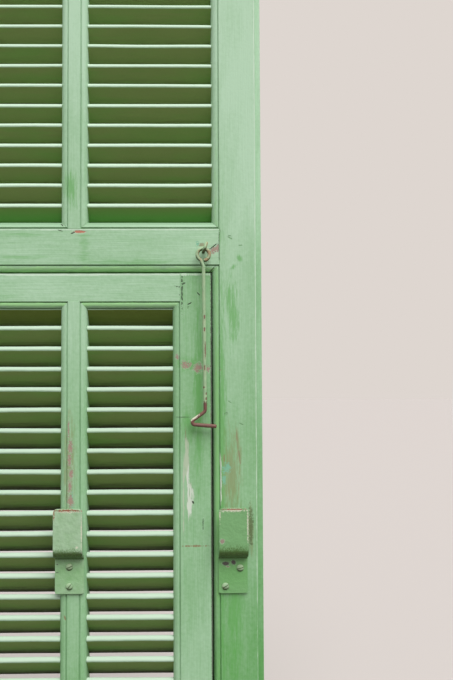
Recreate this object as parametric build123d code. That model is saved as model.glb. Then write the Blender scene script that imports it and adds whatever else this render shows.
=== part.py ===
from build123d import *
import os
from math import cos, radians, sin, sqrt

# One leaf of a pair of louvred shutters, folded open against the wall.
# Frame: origin where the lower pintle's shank enters the wall face, +X along the wall
# to the leaf's free edge, +Y into the wall, +Z up. The room side of the leaf faces -Y.
# All sizes are in millimetres.

# Leaf frame
LEAF_WIDTH = 600.0
LEAF_THICKNESS = 44.0
STILE_WIDTH = 80.0
TOP_RAIL_HEIGHT = 80.0
LOCK_RAIL_HEIGHT = 80.0
BOTTOM_RAIL_HEIGHT = 95.0
MUNTIN_WIDTH = 41.0
MEETING_REBATE_WIDTH = 11.0
MEETING_REBATE_DEPTH = 22.0

# Flap
FLAP_STILE_WIDTH = 60.0
FLAP_TOP_RAIL_HEIGHT = 56.0
FLAP_BOTTOM_RAIL_HEIGHT = 75.0
FLAP_SIDE_GAP = 3.0
FLAP_TOP_GAP = 2.7
FLAP_BOTTOM_GAP = 3.0
STOP_LIP_HEIGHT = 14.0
STOP_LIP_THICKNESS = 16.0
STOP_CLEARANCE = 0.3

# Moulded inner edges: an ovolo, then a narrow sunk quirk beside the flat
OVOLO_RADIUS = 9.0
OVOLO_SET_DOWN = 0.8
QUIRK_WIDTH = 2.4
QUIRK_DEPTH = 2.6

# Mortise and tenon joints
TENON_THICKNESS = 14.0
TENON_LENGTH = 50.0
TENON_SHOULDER = 15.0
STUB_TENON_LENGTH = 15.0
STUB_TENON_INSET = 12.0
TENON_FIT = 0.2
MORTISE_END_ROOM = 1.0

# Louvre slats
SLAT_PITCH = 32.5
SLAT_THICKNESS = 9.5
SLAT_REACH = 41.0
SLAT_ANGLE = 45.0
SLAT_SETBACK = 6.0
SLAT_NOSE_CHAMFER = 2.8
LOWEST_NOSE_RISE = 26.0
TOP_NOSE_OVERLAP = 0.5
UPPER_ROWS = 19
FLAP_ROWS = 21

# Wall pintles
PINTLE_RADIUS = 7.0
PINTLE_STANDOFF = 13.0
PINTLE_EMBEDDED = 80.0
PINTLE_TOP_ROOM = 7.0
PINTLE_BOSS_RADIUS = 9.0

# Strap hinges
STRAP_THICKNESS = 4.0
STRAP_WIDTH = 32.0
STRAP_TIP_WIDTH = 22.0
STRAP_LENGTH = 300.0
EYE_PLAY = 0.06
EYE_LIFT = 0.3
LEAF_SETOFF = 25.0
STRAP_HOLE_STEPS = (15.0, 105.0, 175.0, 245.0)
LOCK_STRAP_RISE = 58.0

# Surface butt hinges of the flap
BUTT_WIDTH = 60.0
BUTT_HEIGHT = 33.0
BUTT_THICKNESS = 2.5
BUTT_FROM_EDGE = 90.0
KNUCKLE_RADIUS = 5.0
KNUCKLE_CLEARANCE = 0.3
BUTT_PIN_RADIUS = 2.5
BUTT_PIN_PLAY = 0.05
BUTT_HOLE_SPREAD = 40.0
BUTT_HOLE_RISE = 22.0

# Wrought nails with square shanks in punched holes
NAIL_THICKNESS = 4.4
NAIL_TIP = 1.6
NAIL_HOLE_PLAY = 0.3
NAIL_HEAD_WIDTH = 11.0
NAIL_HEAD_HEIGHT = 3.0
NAIL_BITE = 26.0

# Slotted screws with raised heads
SCREW_SHANK_RADIUS = 2.2
SCREW_HEAD_RADIUS = 5.5
SCREW_HEAD_SIDES = 16
SCREW_HEAD_HEIGHT = 3.0
SCREW_HEAD_SLOPE = 32.0
SCREW_SLOT_WIDTH = 1.2
SCREW_SLOT_DEPTH = 1.4
SCREW_BITE = 20.0

# Screw places on a bracket's plate: x, height above the plate's foot, turn of the slot
STILE_BRACKET_SCREWS = ((11.0, 39.0, 15.0), (-12.0, 11.0, 30.0))
MUNTIN_BRACKET_SCREWS = ((0.0, 42.0, 20.0), (0.0, 12.0, 50.0))

# Crossbar brackets
BRACKET_WIDTH = 45.0
BRACKET_THICKNESS = 4.0
BRACKET_POCKET = 16.0
BRACKET_LEG = 75.0
BRACKET_PLATE = 60.0
BRACKET_LOWER_BEND = 8.0
BRACKET_LEG_CORNER = 6.0
BRACKET_PLATE_CORNER = 3.0
BRACKET_HOLE_RADIUS = 2.5
BRACKET_DROP = 310.0
STILE_BRACKET_INSET = 30.0
MUNTIN_BRACKET_SHIFT = -5.0

# Hook and its screw eye
BAR_SIDES = 8
RING_RUNS = 20
EYE_WIRE_RADIUS = 2.5
EYE_RING_RADIUS = 7.5
EYE_NECK = 3.0
EYE_SHANK_BITE = 32.0
EYE_TURN = 20.0
EYE_FROM_STILE = 12.5
EYE_DROP = 44.0
HOOK_ROD_RADIUS = 2.8
HOOK_RING_RADIUS = 9.5
HOOK_PLAY = 0.3
HOOK_NECK_OFFSET = 3.7
HOOK_NECK_DROP = 18.0
HOOK_LENGTH = 246.0
HOOK_LEAN = 2.2
HOOK_THROW = 28.0
HOOK_THROW_DROP = 19.5
HOOK_PRONG = 44.0
HOOK_PRONG_DROP = 3.5
HOOK_BEND_RADIUS = 7.0
HOOK_TURN_RADIUS = 4.2

# Places worked out from the sizes above
STICK_WIDTH = OVOLO_RADIUS + QUIRK_WIDTH
STICK_DEPTH = OVOLO_RADIUS + OVOLO_SET_DOWN
AXIS_Y = -PINTLE_STANDOFF
EYE_BORE = PINTLE_RADIUS + EYE_PLAY
EYE_OUTER = EYE_BORE + STRAP_THICKNESS
OUTER_Y = AXIS_Y - EYE_OUTER
FACE_Y = OUTER_Y - LEAF_THICKNESS

STRAP_RISE = PINTLE_BOSS_RADIUS + EYE_LIFT + STRAP_WIDTH / 2
LEAF_X0 = LEAF_SETOFF
LEAF_X1 = LEAF_X0 + LEAF_WIDTH
OPEN_X0 = LEAF_X0 + STILE_WIDTH
OPEN_X1 = LEAF_X1 - STILE_WIDTH
MID_X = (OPEN_X0 + OPEN_X1) / 2


def louvred_height(rows):
    """Height of an opening whose slats are trimmed to the rails above and below."""
    return LOWEST_NOSE_RISE + (rows - 1) * SLAT_PITCH - TOP_NOSE_OVERLAP


LEAF_Z0 = STRAP_RISE - BOTTOM_RAIL_HEIGHT / 2
BOTTOM_RAIL_Z1 = LEAF_Z0 + BOTTOM_RAIL_HEIGHT
LIP_Z1 = BOTTOM_RAIL_Z1 + STOP_LIP_HEIGHT
FLAP_Z0 = BOTTOM_RAIL_Z1 + FLAP_BOTTOM_GAP
FLAP_OPEN_Z0 = FLAP_Z0 + FLAP_BOTTOM_RAIL_HEIGHT
FLAP_OPEN_Z1 = FLAP_OPEN_Z0 + louvred_height(FLAP_ROWS)
FLAP_Z1 = FLAP_OPEN_Z1 + FLAP_TOP_RAIL_HEIGHT
LOCK_Z0 = FLAP_Z1 + FLAP_TOP_GAP
LOCK_Z1 = LOCK_Z0 + LOCK_RAIL_HEIGHT
TOP_Z0 = LOCK_Z1 + louvred_height(UPPER_ROWS)
LEAF_Z1 = TOP_Z0 + TOP_RAIL_HEIGHT

FLAP_X0 = OPEN_X0 + FLAP_SIDE_GAP
FLAP_X1 = OPEN_X1 - FLAP_SIDE_GAP
FLAP_OPEN_X0 = FLAP_X0 + FLAP_STILE_WIDTH
FLAP_OPEN_X1 = FLAP_X1 - FLAP_STILE_WIDTH
MUNTIN_X0 = MID_X - MUNTIN_WIDTH / 2
MUNTIN_X1 = MID_X + MUNTIN_WIDTH / 2

TENON_Y0 = FACE_Y + (STICK_DEPTH + LEAF_THICKNESS - TENON_THICKNESS) / 2
TENON_Y1 = TENON_Y0 + TENON_THICKNESS
FLAP_TENON_LENGTH = min(TENON_LENGTH, FLAP_STILE_WIDTH - STICK_WIDTH)

# Openings and rail bodies as x0, x1, z0, z1
UPPER_OPENING = (OPEN_X0, OPEN_X1, LOCK_Z1, TOP_Z0)
FLAP_PLACE = (OPEN_X0, OPEN_X1, LIP_Z1, LOCK_Z0)
FLAP_OPENING = (FLAP_OPEN_X0, FLAP_OPEN_X1, FLAP_OPEN_Z0, FLAP_OPEN_Z1)
BOTTOM_RAIL_BODY = (OPEN_X0, OPEN_X1, LEAF_Z0, BOTTOM_RAIL_Z1)

# Rail fronts: x0, x1, z0, z1, then whether the lower and the upper edge are moulded
TOP_RAIL = (OPEN_X0, OPEN_X1, TOP_Z0, LEAF_Z1, True, False)
LOCK_RAIL = (OPEN_X0, OPEN_X1, LOCK_Z0, LOCK_Z1, True, True)
BOTTOM_RAIL = (OPEN_X0, OPEN_X1, LEAF_Z0, LIP_Z1, False, True)
FLAP_TOP_RAIL = (FLAP_OPEN_X0, FLAP_OPEN_X1, FLAP_OPEN_Z1, FLAP_Z1, True, False)
FLAP_BOTTOM_RAIL = (FLAP_OPEN_X0, FLAP_OPEN_X1, FLAP_Z0, FLAP_OPEN_Z0, False, True)

STRAP_HEIGHTS = {
    "lower": LEAF_Z0 + BOTTOM_RAIL_HEIGHT / 2,
    "middle": LOCK_Z0 + LOCK_STRAP_RISE,
    "upper": TOP_Z0 + TOP_RAIL_HEIGHT / 2,
}

BUTT_AXIS_Y = OUTER_Y + KNUCKLE_RADIUS + KNUCKLE_CLEARANCE
BUTT_AXIS_Z = LOCK_Z0 - FLAP_TOP_GAP / 2
BUTT_CENTRES = {
    "left": FLAP_X0 + BUTT_FROM_EDGE,
    "right": FLAP_X1 - BUTT_FROM_EDGE,
}

BRACKET_TOP_Z = FLAP_OPEN_Z1 - BRACKET_DROP
BRACKET_OFFSET = BRACKET_POCKET + BRACKET_THICKNESS

EYE_X = OPEN_X1 - EYE_FROM_STILE
EYE_Z = LOCK_Z1 - EYE_DROP
EYE_CENTRE_Y = FACE_Y - EYE_NECK - EYE_RING_RADIUS - EYE_WIRE_RADIUS
HOOK_PIVOT_X = EYE_X - EYE_RING_RADIUS * sin(radians(EYE_TURN))
HOOK_PIVOT_Z = EYE_Z - EYE_RING_RADIUS * cos(radians(EYE_TURN))
HOOK_RING_Z = HOOK_PIVOT_Z + EYE_WIRE_RADIUS + HOOK_PLAY - HOOK_RING_RADIUS + HOOK_ROD_RADIUS

# Margin by which a cutting shape stands past the surface it cuts
PAST = 2.0


def block(x0, x1, y0, y1, z0, z1):
    """Box between two corners."""
    size = Box(x1 - x0, y1 - y0, z1 - z0)
    return Pos((x0 + x1) / 2, (y0 + y1) / 2, (z0 + z1) / 2) * size


def leaf_bar(x0, x1, z0, z1):
    """Plain bar of the leaf's full thickness."""
    return block(x0, x1, FACE_Y, OUTER_Y, z0, z1)


def front_layer(points):
    """The moulding's layer behind the face, inside an outline given as (x, z) points."""
    outline = Polyline(*[(x, 0, z) for x, z in points], close=True)
    layer = extrude(make_face(outline), amount=STICK_DEPTH, dir=(0, 1, 0))
    return Pos(0, FACE_Y, 0) * layer


def rail_front(x0, x1, z0, z1, mitre_low, mitre_high):
    """Front of a rail between two edges, mitred wherever a moulding turns the corner."""
    low = STICK_WIDTH if mitre_low else 0.0
    high = STICK_WIDTH if mitre_high else 0.0
    left = x0 - STICK_WIDTH
    right = x1 + STICK_WIDTH
    points = [(left, z0 + low), (left, z1 - high)]
    if mitre_high:
        points.append((x0, z1))
        points.append((x1, z1))
    points.append((right, z1 - high))
    points.append((right, z0 + low))
    if mitre_low:
        points.append((x1, z0))
        points.append((x0, z0))
    return front_layer(points)


def muntin_front(z0, z1):
    """Front of a muntin, pointed into the mouldings of the rails above and below."""
    flat_x0 = MUNTIN_X0 + STICK_WIDTH
    flat_x1 = MUNTIN_X1 - STICK_WIDTH
    low = z0 - STICK_WIDTH
    high = z1 + STICK_WIDTH
    return front_layer([
        (MUNTIN_X0, z0), (flat_x0, low), (flat_x1, low), (MUNTIN_X1, z0),
        (MUNTIN_X1, z1), (flat_x1, high), (flat_x0, high), (MUNTIN_X0, z1),
    ])


def moulding_waste(length):
    """What the moulding plane takes off an edge: local x into the wood, y into the depth."""
    lines = Polyline(
        (-PAST, STICK_DEPTH), (-PAST, -PAST), (STICK_WIDTH, -PAST),
        (STICK_WIDTH, QUIRK_DEPTH), (OVOLO_RADIUS, QUIRK_DEPTH), (OVOLO_RADIUS, OVOLO_SET_DOWN),
    )
    middle = OVOLO_RADIUS * (1 - sqrt(0.5))
    ovolo = ThreePointArc(
        (OVOLO_RADIUS, OVOLO_SET_DOWN), (middle, OVOLO_SET_DOWN + middle), (0, STICK_DEPTH)
    )
    closing = Line((0, STICK_DEPTH), (-PAST, STICK_DEPTH))
    return extrude(make_face(lines + ovolo + closing), amount=length)


def moulded_edge(side, x0, x1, z0, z1):
    """Waste along one side of an opening, run on past both of its corners."""
    run = STICK_WIDTH
    planes = {
        "left": Plane(origin=(x0, FACE_Y, z1 + run), x_dir=(-1, 0, 0), z_dir=(0, 0, -1)),
        "right": Plane(origin=(x1, FACE_Y, z0 - run), x_dir=(1, 0, 0), z_dir=(0, 0, 1)),
        "bottom": Plane(origin=(x0 - run, FACE_Y, z0), x_dir=(0, 0, -1), z_dir=(1, 0, 0)),
        "top": Plane(origin=(x1 + run, FACE_Y, z1), x_dir=(0, 0, 1), z_dir=(-1, 0, 0)),
    }
    upright = side in ("left", "right")
    length = (z1 - z0 if upright else x1 - x0) + 2 * run
    return planes[side] * moulding_waste(length)


def tenon(x0, x1, z0, z1, fit=0.0):
    """Tenon tongue; with a fit value it is the matching mortise."""
    return block(x0, x1, TENON_Y0 - fit, TENON_Y1 + fit, z0 - fit, z1 + fit)


def rail_tenons(x0, x1, z0, z1, length, mortise=False):
    """Tenons at both ends of a rail, or the mortises that take them."""
    fit = TENON_FIT if mortise else 0.0
    room = MORTISE_END_ROOM if mortise else 0.0
    low = z0 + TENON_SHOULDER
    high = z1 - TENON_SHOULDER
    left = tenon(x0 - length - room, x0, low, high, fit)
    right = tenon(x1, x1 + length + room, low, high, fit)
    return left, right


def muntin_tenons(z0, z1, mortise=False):
    """Stub tenons at both ends of a muntin, or the mortises that take them."""
    fit = TENON_FIT if mortise else 0.0
    room = MORTISE_END_ROOM if mortise else 0.0
    x0 = MUNTIN_X0 + STUB_TENON_INSET - fit
    x1 = MUNTIN_X1 - STUB_TENON_INSET + fit
    y0 = TENON_Y0 - fit
    y1 = TENON_Y1 + fit
    low = block(x0, x1, y0, y1, z0 - STUB_TENON_LENGTH - room, z0)
    high = block(x0, x1, y0, y1, z1, z1 + STUB_TENON_LENGTH + room)
    return low, high


def frame_stile(side):
    """Stile of the leaf, cut for its three rails and moulded beside both openings."""
    left = side == "left"
    x0 = LEAF_X0 if left else OPEN_X1
    stile = leaf_bar(x0, x0 + STILE_WIDTH, LEAF_Z0, LEAF_Z1)
    for rail in (TOP_RAIL, LOCK_RAIL, BOTTOM_RAIL):
        stile -= rail_front(*rail)
    for body in (TOP_RAIL[:4], LOCK_RAIL[:4], BOTTOM_RAIL_BODY):
        stile -= rail_tenons(*body, TENON_LENGTH, mortise=True)[0 if left else 1]
    for opening in (UPPER_OPENING, FLAP_PLACE):
        stile -= moulded_edge(side, *opening)
    return stile


def hinge_stile():
    return frame_stile("left")


def meeting_stile():
    """The free stile, stepped back along its edge for the other leaf to lap over."""
    step = block(
        LEAF_X1 - MEETING_REBATE_WIDTH, LEAF_X1 + PAST,
        FACE_Y - PAST, FACE_Y + MEETING_REBATE_DEPTH,
        LEAF_Z0 - PAST, LEAF_Z1 + PAST,
    )
    return frame_stile("right") - step


def rail(outline, body, tenon_length):
    """Rail with a front that reaches into the stiles' mouldings, and its tenons."""
    back = block(body[0], body[1], FACE_Y + STICK_DEPTH, OUTER_Y, body[2], body[3])
    shape = rail_front(*outline) + back
    for tongue in rail_tenons(*body, tenon_length):
        shape += tongue
    return shape


def top_rail():
    shape = rail(TOP_RAIL, TOP_RAIL[:4], TENON_LENGTH)
    shape -= moulded_edge("top", *UPPER_OPENING)
    shape -= muntin_front(LOCK_Z1, TOP_Z0)
    shape -= muntin_tenons(LOCK_Z1, TOP_Z0, mortise=True)[1]
    return shape


def lock_rail():
    shape = rail(LOCK_RAIL, LOCK_RAIL[:4], TENON_LENGTH)
    shape -= moulded_edge("bottom", *UPPER_OPENING)
    shape -= moulded_edge("top", *FLAP_PLACE)
    shape -= muntin_front(LOCK_Z1, TOP_Z0)
    shape -= muntin_tenons(LOCK_Z1, TOP_Z0, mortise=True)[0]
    return shape


def bottom_rail():
    """Bottom rail with the lip that the flap closes against."""
    shape = rail(BOTTOM_RAIL, BOTTOM_RAIL_BODY, TENON_LENGTH)
    lip = block(
        OPEN_X0, OPEN_X1, FACE_Y + STICK_DEPTH, FACE_Y + STOP_LIP_THICKNESS, BOTTOM_RAIL_Z1, LIP_Z1
    )
    shape += lip
    return shape - moulded_edge("bottom", *FLAP_PLACE)


def muntin(z0, z1, opening):
    """Upright bar between two columns of slats, moulded on both edges."""
    back = block(MUNTIN_X0, MUNTIN_X1, FACE_Y + STICK_DEPTH, OUTER_Y, z0, z1)
    shape = muntin_front(z0, z1) + back
    for stub in muntin_tenons(z0, z1):
        shape += stub
    shape -= moulded_edge("right", opening[0], MUNTIN_X0, z0, z1)
    shape -= moulded_edge("left", MUNTIN_X1, opening[1], z0, z1)
    return shape


def upper_muntin():
    return muntin(LOCK_Z1, TOP_Z0, UPPER_OPENING)


def flap_muntin():
    return muntin(FLAP_OPEN_Z0, FLAP_OPEN_Z1, FLAP_OPENING)


def stop_rebate():
    """Step along the flap's foot that closes against the bottom rail's lip."""
    return block(
        FLAP_X0 - PAST, FLAP_X1 + PAST,
        FACE_Y - PAST, FACE_Y + STOP_LIP_THICKNESS + STOP_CLEARANCE,
        FLAP_Z0 - PAST, LIP_Z1 + FLAP_BOTTOM_GAP,
    )


def flap_stile(side):
    left = side == "left"
    x0 = FLAP_X0 if left else FLAP_OPEN_X1
    stile = leaf_bar(x0, x0 + FLAP_STILE_WIDTH, FLAP_Z0, FLAP_Z1)
    for bar in (FLAP_TOP_RAIL, FLAP_BOTTOM_RAIL):
        stile -= rail_front(*bar)
        stile -= rail_tenons(*bar[:4], FLAP_TENON_LENGTH, mortise=True)[0 if left else 1]
    stile -= moulded_edge(side, *FLAP_OPENING)
    return stile - stop_rebate()


def flap_top_rail():
    shape = rail(FLAP_TOP_RAIL, FLAP_TOP_RAIL[:4], FLAP_TENON_LENGTH)
    shape -= moulded_edge("top", *FLAP_OPENING)
    shape -= muntin_front(FLAP_OPEN_Z0, FLAP_OPEN_Z1)
    return shape - muntin_tenons(FLAP_OPEN_Z0, FLAP_OPEN_Z1, mortise=True)[1]


def flap_bottom_rail():
    shape = rail(FLAP_BOTTOM_RAIL, FLAP_BOTTOM_RAIL[:4], FLAP_TENON_LENGTH)
    shape -= moulded_edge("bottom", *FLAP_OPENING)
    shape -= muntin_front(FLAP_OPEN_Z0, FLAP_OPEN_Z1)
    shape -= muntin_tenons(FLAP_OPEN_Z0, FLAP_OPEN_Z1, mortise=True)[0]
    return shape - stop_rebate()


def slat(x0, x1, nose_z):
    """One fixed slat: an eased nose at the room side, sloping down and outwards."""
    half = SLAT_THICKNESS / 2
    flat = half - SLAT_NOSE_CHAMFER
    shoulder = SLAT_NOSE_CHAMFER - half
    slope = radians(SLAT_ANGLE)
    section = Polyline(
        (shoulder, half), (SLAT_REACH, half), (SLAT_REACH, -half),
        (shoulder, -half), (-half, -flat), (-half, flat), close=True,
    )
    nose = Plane(
        origin=(x0, FACE_Y + SLAT_SETBACK + half, nose_z),
        x_dir=(0, cos(slope), -sin(slope)),
        z_dir=(1, 0, 0),
    )
    return extrude(nose * make_face(section), amount=x1 - x0)


def slat_column(x0, x1, z0, z1, rows):
    """Slats of one column, the lowest and the highest planed to fit their rails."""
    room = block(x0, x1, FACE_Y, OUTER_Y, z0, z1)
    slats = []
    for row in range(rows):
        piece = slat(x0, x1, z0 + LOWEST_NOSE_RISE + row * SLAT_PITCH)
        if row in (0, rows - 1):
            piece = piece & room
        slats.append(piece)
    return slats


def wall_rod(radius, y0, y1):
    """Round bar square to the wall, between two depths."""
    rod = Cylinder(radius, y1 - y0, align=(Align.CENTER, Align.CENTER, Align.MIN))
    return Pos(0, y0, 0) * Rot(-90, 0, 0) * rod


def pintle(strap_z):
    """Shank for the wall, a thicker boss up to the wall face, and the upright pin on it."""
    boss = wall_rod(PINTLE_BOSS_RADIUS, AXIS_Y - PINTLE_BOSS_RADIUS, 0)
    shank = wall_rod(PINTLE_RADIUS, 0, PINTLE_EMBEDDED)
    height = STRAP_RISE + STRAP_WIDTH / 2 + PINTLE_TOP_ROOM
    pin = Cylinder(PINTLE_RADIUS, height, align=(Align.CENTER, Align.CENTER, Align.MIN))
    return Pos(0, 0, strap_z - STRAP_RISE) * (boss + shank + Pos(0, AXIS_Y, 0) * pin)


def strap_hole_xs():
    return [LEAF_X0 + step for step in STRAP_HOLE_STEPS]


def punched_hole(x, iron, z):
    """Square hole through hinge iron of one thickness that lies on the outer face."""
    side = NAIL_THICKNESS + 2 * NAIL_HOLE_PLAY
    return Pos(x, OUTER_Y + iron / 2, z) * Box(side, iron + PAST, side)


def strap_hinge(strap_z):
    """Flat strap rolled into an eye round the pintle, tapering to a rounded tip."""
    half = STRAP_WIDTH / 2
    tip = STRAP_TIP_WIDTH / 2
    band = block(0, STRAP_LENGTH, OUTER_Y, OUTER_Y + STRAP_THICKNESS, -half, half)
    eye = Pos(0, AXIS_Y, 0) * Cylinder(EYE_OUTER, STRAP_WIDTH)
    outline = Polyline(
        (STRAP_LENGTH - tip, 0, tip), (LEAF_X0, 0, half), (-STRAP_WIDTH, 0, half),
        (-STRAP_WIDTH, 0, -half), (LEAF_X0, 0, -half), (STRAP_LENGTH - tip, 0, -tip),
    )
    outline += ThreePointArc(
        (STRAP_LENGTH - tip, 0, -tip), (STRAP_LENGTH, 0, 0), (STRAP_LENGTH - tip, 0, tip)
    )
    reach = LEAF_THICKNESS + PINTLE_STANDOFF
    trim = extrude(make_face(outline), amount=reach, dir=(0, 1, 0), both=True)
    shape = (band + eye) & trim
    shape -= Pos(0, AXIS_Y, 0) * Cylinder(EYE_BORE, STRAP_WIDTH + PAST)
    for x in strap_hole_xs():
        shape -= punched_hole(x, STRAP_THICKNESS, 0)
    return Pos(0, 0, strap_z) * shape


def square_taper(base, tip, length):
    """Square bar that starts on y = 0 and draws in evenly towards +Y."""
    low = (base - tip) / 2
    high = (base + tip) / 2
    return Wedge(
        base, length, base, low, low, high, high, align=(Align.CENTER, Align.MIN, Align.CENTER)
    )


def nail(x, iron, z):
    """Wrought nail driven towards the room, its four-sided head on iron of one thickness."""
    shank = square_taper(NAIL_THICKNESS, NAIL_TIP, iron + NAIL_BITE)
    head = square_taper(NAIL_HEAD_WIDTH, NAIL_THICKNESS / 2, NAIL_HEAD_HEIGHT)
    return Pos(x, OUTER_Y + iron, z) * (head + Rot(0, 0, 180) * shank)


def strap_nails():
    places = [(x, z) for z in STRAP_HEIGHTS.values() for x in strap_hole_xs()]
    return [nail(x, STRAP_THICKNESS, z) for x, z in places]


def butt_hole_places(centre_x, upward):
    """Nail holes of a butt leaf: two near the knuckle's ends and one in the middle."""
    way = 1 if upward else -1
    low = BUTT_AXIS_Z + way * (BUTT_HEIGHT + BUTT_HOLE_RISE) / 2
    rise = BUTT_AXIS_Z + way * BUTT_HOLE_RISE
    half = BUTT_HOLE_SPREAD / 2
    return [(centre_x - half, low), (centre_x, rise), (centre_x + half, low)]


def butt_leaf(centre_x, upward):
    """Leaf of a surface butt hinge: the upper one has two knuckles, the lower one has one."""
    way = 1 if upward else -1
    third = BUTT_WIDTH / 3
    z_far = BUTT_AXIS_Z + way * BUTT_HEIGHT
    z_low, z_high = sorted((BUTT_AXIS_Z, z_far))
    y1 = OUTER_Y + BUTT_THICKNESS
    plate = block(-BUTT_WIDTH / 2, BUTT_WIDTH / 2, OUTER_Y, y1, z_low, z_high)
    room = KNUCKLE_RADIUS + KNUCKLE_CLEARANCE
    middle = block(
        -third / 2 - KNUCKLE_CLEARANCE / 2, third / 2 + KNUCKLE_CLEARANCE / 2,
        OUTER_Y - PAST, BUTT_AXIS_Y + 2 * KNUCKLE_RADIUS, BUTT_AXIS_Z - room, BUTT_AXIS_Z + room,
    )
    barrel = Pos(0, BUTT_AXIS_Y, BUTT_AXIS_Z) * Rot(0, 90, 0) * Cylinder(KNUCKLE_RADIUS, BUTT_WIDTH)
    if upward:
        shape = (plate + barrel) - middle
    else:
        own = block(
            -third / 2 + KNUCKLE_CLEARANCE / 2, third / 2 - KNUCKLE_CLEARANCE / 2,
            OUTER_Y - PAST, BUTT_AXIS_Y + 2 * KNUCKLE_RADIUS, BUTT_AXIS_Z - room, BUTT_AXIS_Z + room,
        )
        clear = block(
            -BUTT_WIDTH, BUTT_WIDTH, OUTER_Y - PAST, BUTT_AXIS_Y + 2 * KNUCKLE_RADIUS,
            BUTT_AXIS_Z - room, BUTT_AXIS_Z + room,
        )
        shape = (plate - clear) + ((plate + barrel) & own)
    bore = Rot(0, 90, 0) * Cylinder(BUTT_PIN_RADIUS + BUTT_PIN_PLAY, BUTT_WIDTH + PAST)
    shape -= Pos(0, BUTT_AXIS_Y, BUTT_AXIS_Z) * bore
    shape = Pos(centre_x, 0, 0) * shape
    for x, z in butt_hole_places(centre_x, upward):
        shape -= punched_hole(x, BUTT_THICKNESS, z)
    return shape


def butt_pin(centre_x):
    """Plain hinge pin, as long as the knuckles together."""
    return Pos(centre_x, BUTT_AXIS_Y, BUTT_AXIS_Z) * Rot(0, 90, 0) * Cylinder(BUTT_PIN_RADIUS, BUTT_WIDTH)


def butt_nails(upward):
    places = [spot for x in BUTT_CENTRES.values() for spot in butt_hole_places(x, upward)]
    return [nail(x, BUTT_THICKNESS, z) for x, z in places]


def bar_section(radius):
    """Section of forged bar: eight flats, which stand for its round."""
    return RegularPolygon(radius, BAR_SIDES, major_radius=False, rotation=180 / BAR_SIDES)


def bracket_profile():
    """Closed side outline of the strip, offset half its thickness to each side."""
    t = BRACKET_THICKNESS
    upper_bend = BRACKET_OFFSET - BRACKET_LOWER_BEND
    lower_bend = BRACKET_LOWER_BEND
    half = t / 2
    leg_y = -half - BRACKET_OFFSET
    shelf_z = -BRACKET_LEG
    foot = shelf_z - BRACKET_PLATE
    bend_y = leg_y + upper_bend
    diagonal = sqrt(0.5)
    upper_z = shelf_z + upper_bend
    lower_z = shelf_z - lower_bend

    def upper_arc(radius, back):
        ends = [(0, bend_y - radius, upper_z), (0, bend_y, upper_z - radius)]
        if back:
            ends.reverse()
        middle = (0, bend_y - radius * diagonal, upper_z - radius * diagonal)
        return ThreePointArc(ends[0], middle, ends[1])

    def lower_arc(radius, back):
        ends = [(0, bend_y, lower_z + radius), (0, bend_y + radius, lower_z)]
        if back:
            ends.reverse()
        middle = (0, bend_y + radius * diagonal, lower_z + radius * diagonal)
        return ThreePointArc(ends[0], middle, ends[1])

    outline = Line((0, leg_y - half, 0), (0, leg_y - half, upper_z))
    outline += upper_arc(upper_bend + half, False)
    outline += lower_arc(lower_bend - half, False)
    outline += Polyline((0, -t, lower_z), (0, -t, foot), (0, 0, foot), (0, 0, lower_z))
    outline += lower_arc(lower_bend + half, True)
    outline += upper_arc(upper_bend - half, True)
    outline += Polyline((0, leg_y + half, upper_z), (0, leg_y + half, 0), (0, leg_y - half, 0))
    return make_face(outline)


def bracket(hole_places):
    """Bar bracket with its leg's top at the origin's height and its plate on y = 0."""
    width = BRACKET_WIDTH
    shape = extrude(bracket_profile(), amount=width / 2, dir=(1, 0, 0), both=True)
    upright = shape.edges().filter_by(Axis.Y)
    leg_corners = upright.sort_by(Axis.Z)[-2:]
    shape = fillet(leg_corners, BRACKET_LEG_CORNER)
    plate_corners = shape.edges().filter_by(Axis.Y).sort_by(Axis.Z)[:2]
    shape = fillet(plate_corners, BRACKET_PLATE_CORNER)
    for x, z in hole_places:
        hole = extrude(bar_section(BRACKET_HOLE_RADIUS), amount=BRACKET_THICKNESS, both=True)
        shape -= Pos(x, 0, z) * Rot(90, 0, 0) * hole
    return shape


def round_screw(x, z, slot_turn):
    """Slotted screw with a raised head, through a bracket plate that lies on y = 0."""
    height = SCREW_HEAD_HEIGHT
    rim = RegularPolygon(SCREW_HEAD_RADIUS, SCREW_HEAD_SIDES)
    head = extrude(rim, amount=height, taper=SCREW_HEAD_SLOPE)
    slot = Box(2 * SCREW_HEAD_RADIUS + PAST, SCREW_SLOT_WIDTH, 2 * SCREW_SLOT_DEPTH)
    slot = Pos(0, 0, height) * Rot(0, 0, slot_turn) * slot
    shank = extrude(bar_section(SCREW_SHANK_RADIUS), amount=-BRACKET_THICKNESS - SCREW_BITE)
    screw = (head - slot) + shank
    return Pos(x, -BRACKET_THICKNESS, z) * Rot(90, 0, 0) * screw


def bracket_set(screws, x):
    """A bracket and its screws, placed on the leaf's room face."""
    foot = -BRACKET_LEG - BRACKET_PLATE
    holes = [(px, foot + rise) for px, rise, _ in screws]
    place = Pos(x, FACE_Y, BRACKET_TOP_Z)
    iron = place * bracket(holes)
    heads = [place * round_screw(px, foot + rise, turn) for px, rise, turn in screws]
    return iron, heads


def bar_ring(ring_radius, bar_radius):
    """Closed ring in the XY plane, of bar bent round in short straight runs."""
    path = RegularPolygon(ring_radius, RING_RUNS, major_radius=False).wire()
    start = Plane(origin=path @ 0, z_dir=path % 0)
    return sweep(start * bar_section(bar_radius), path=path, transition=Transition.RIGHT)


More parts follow.
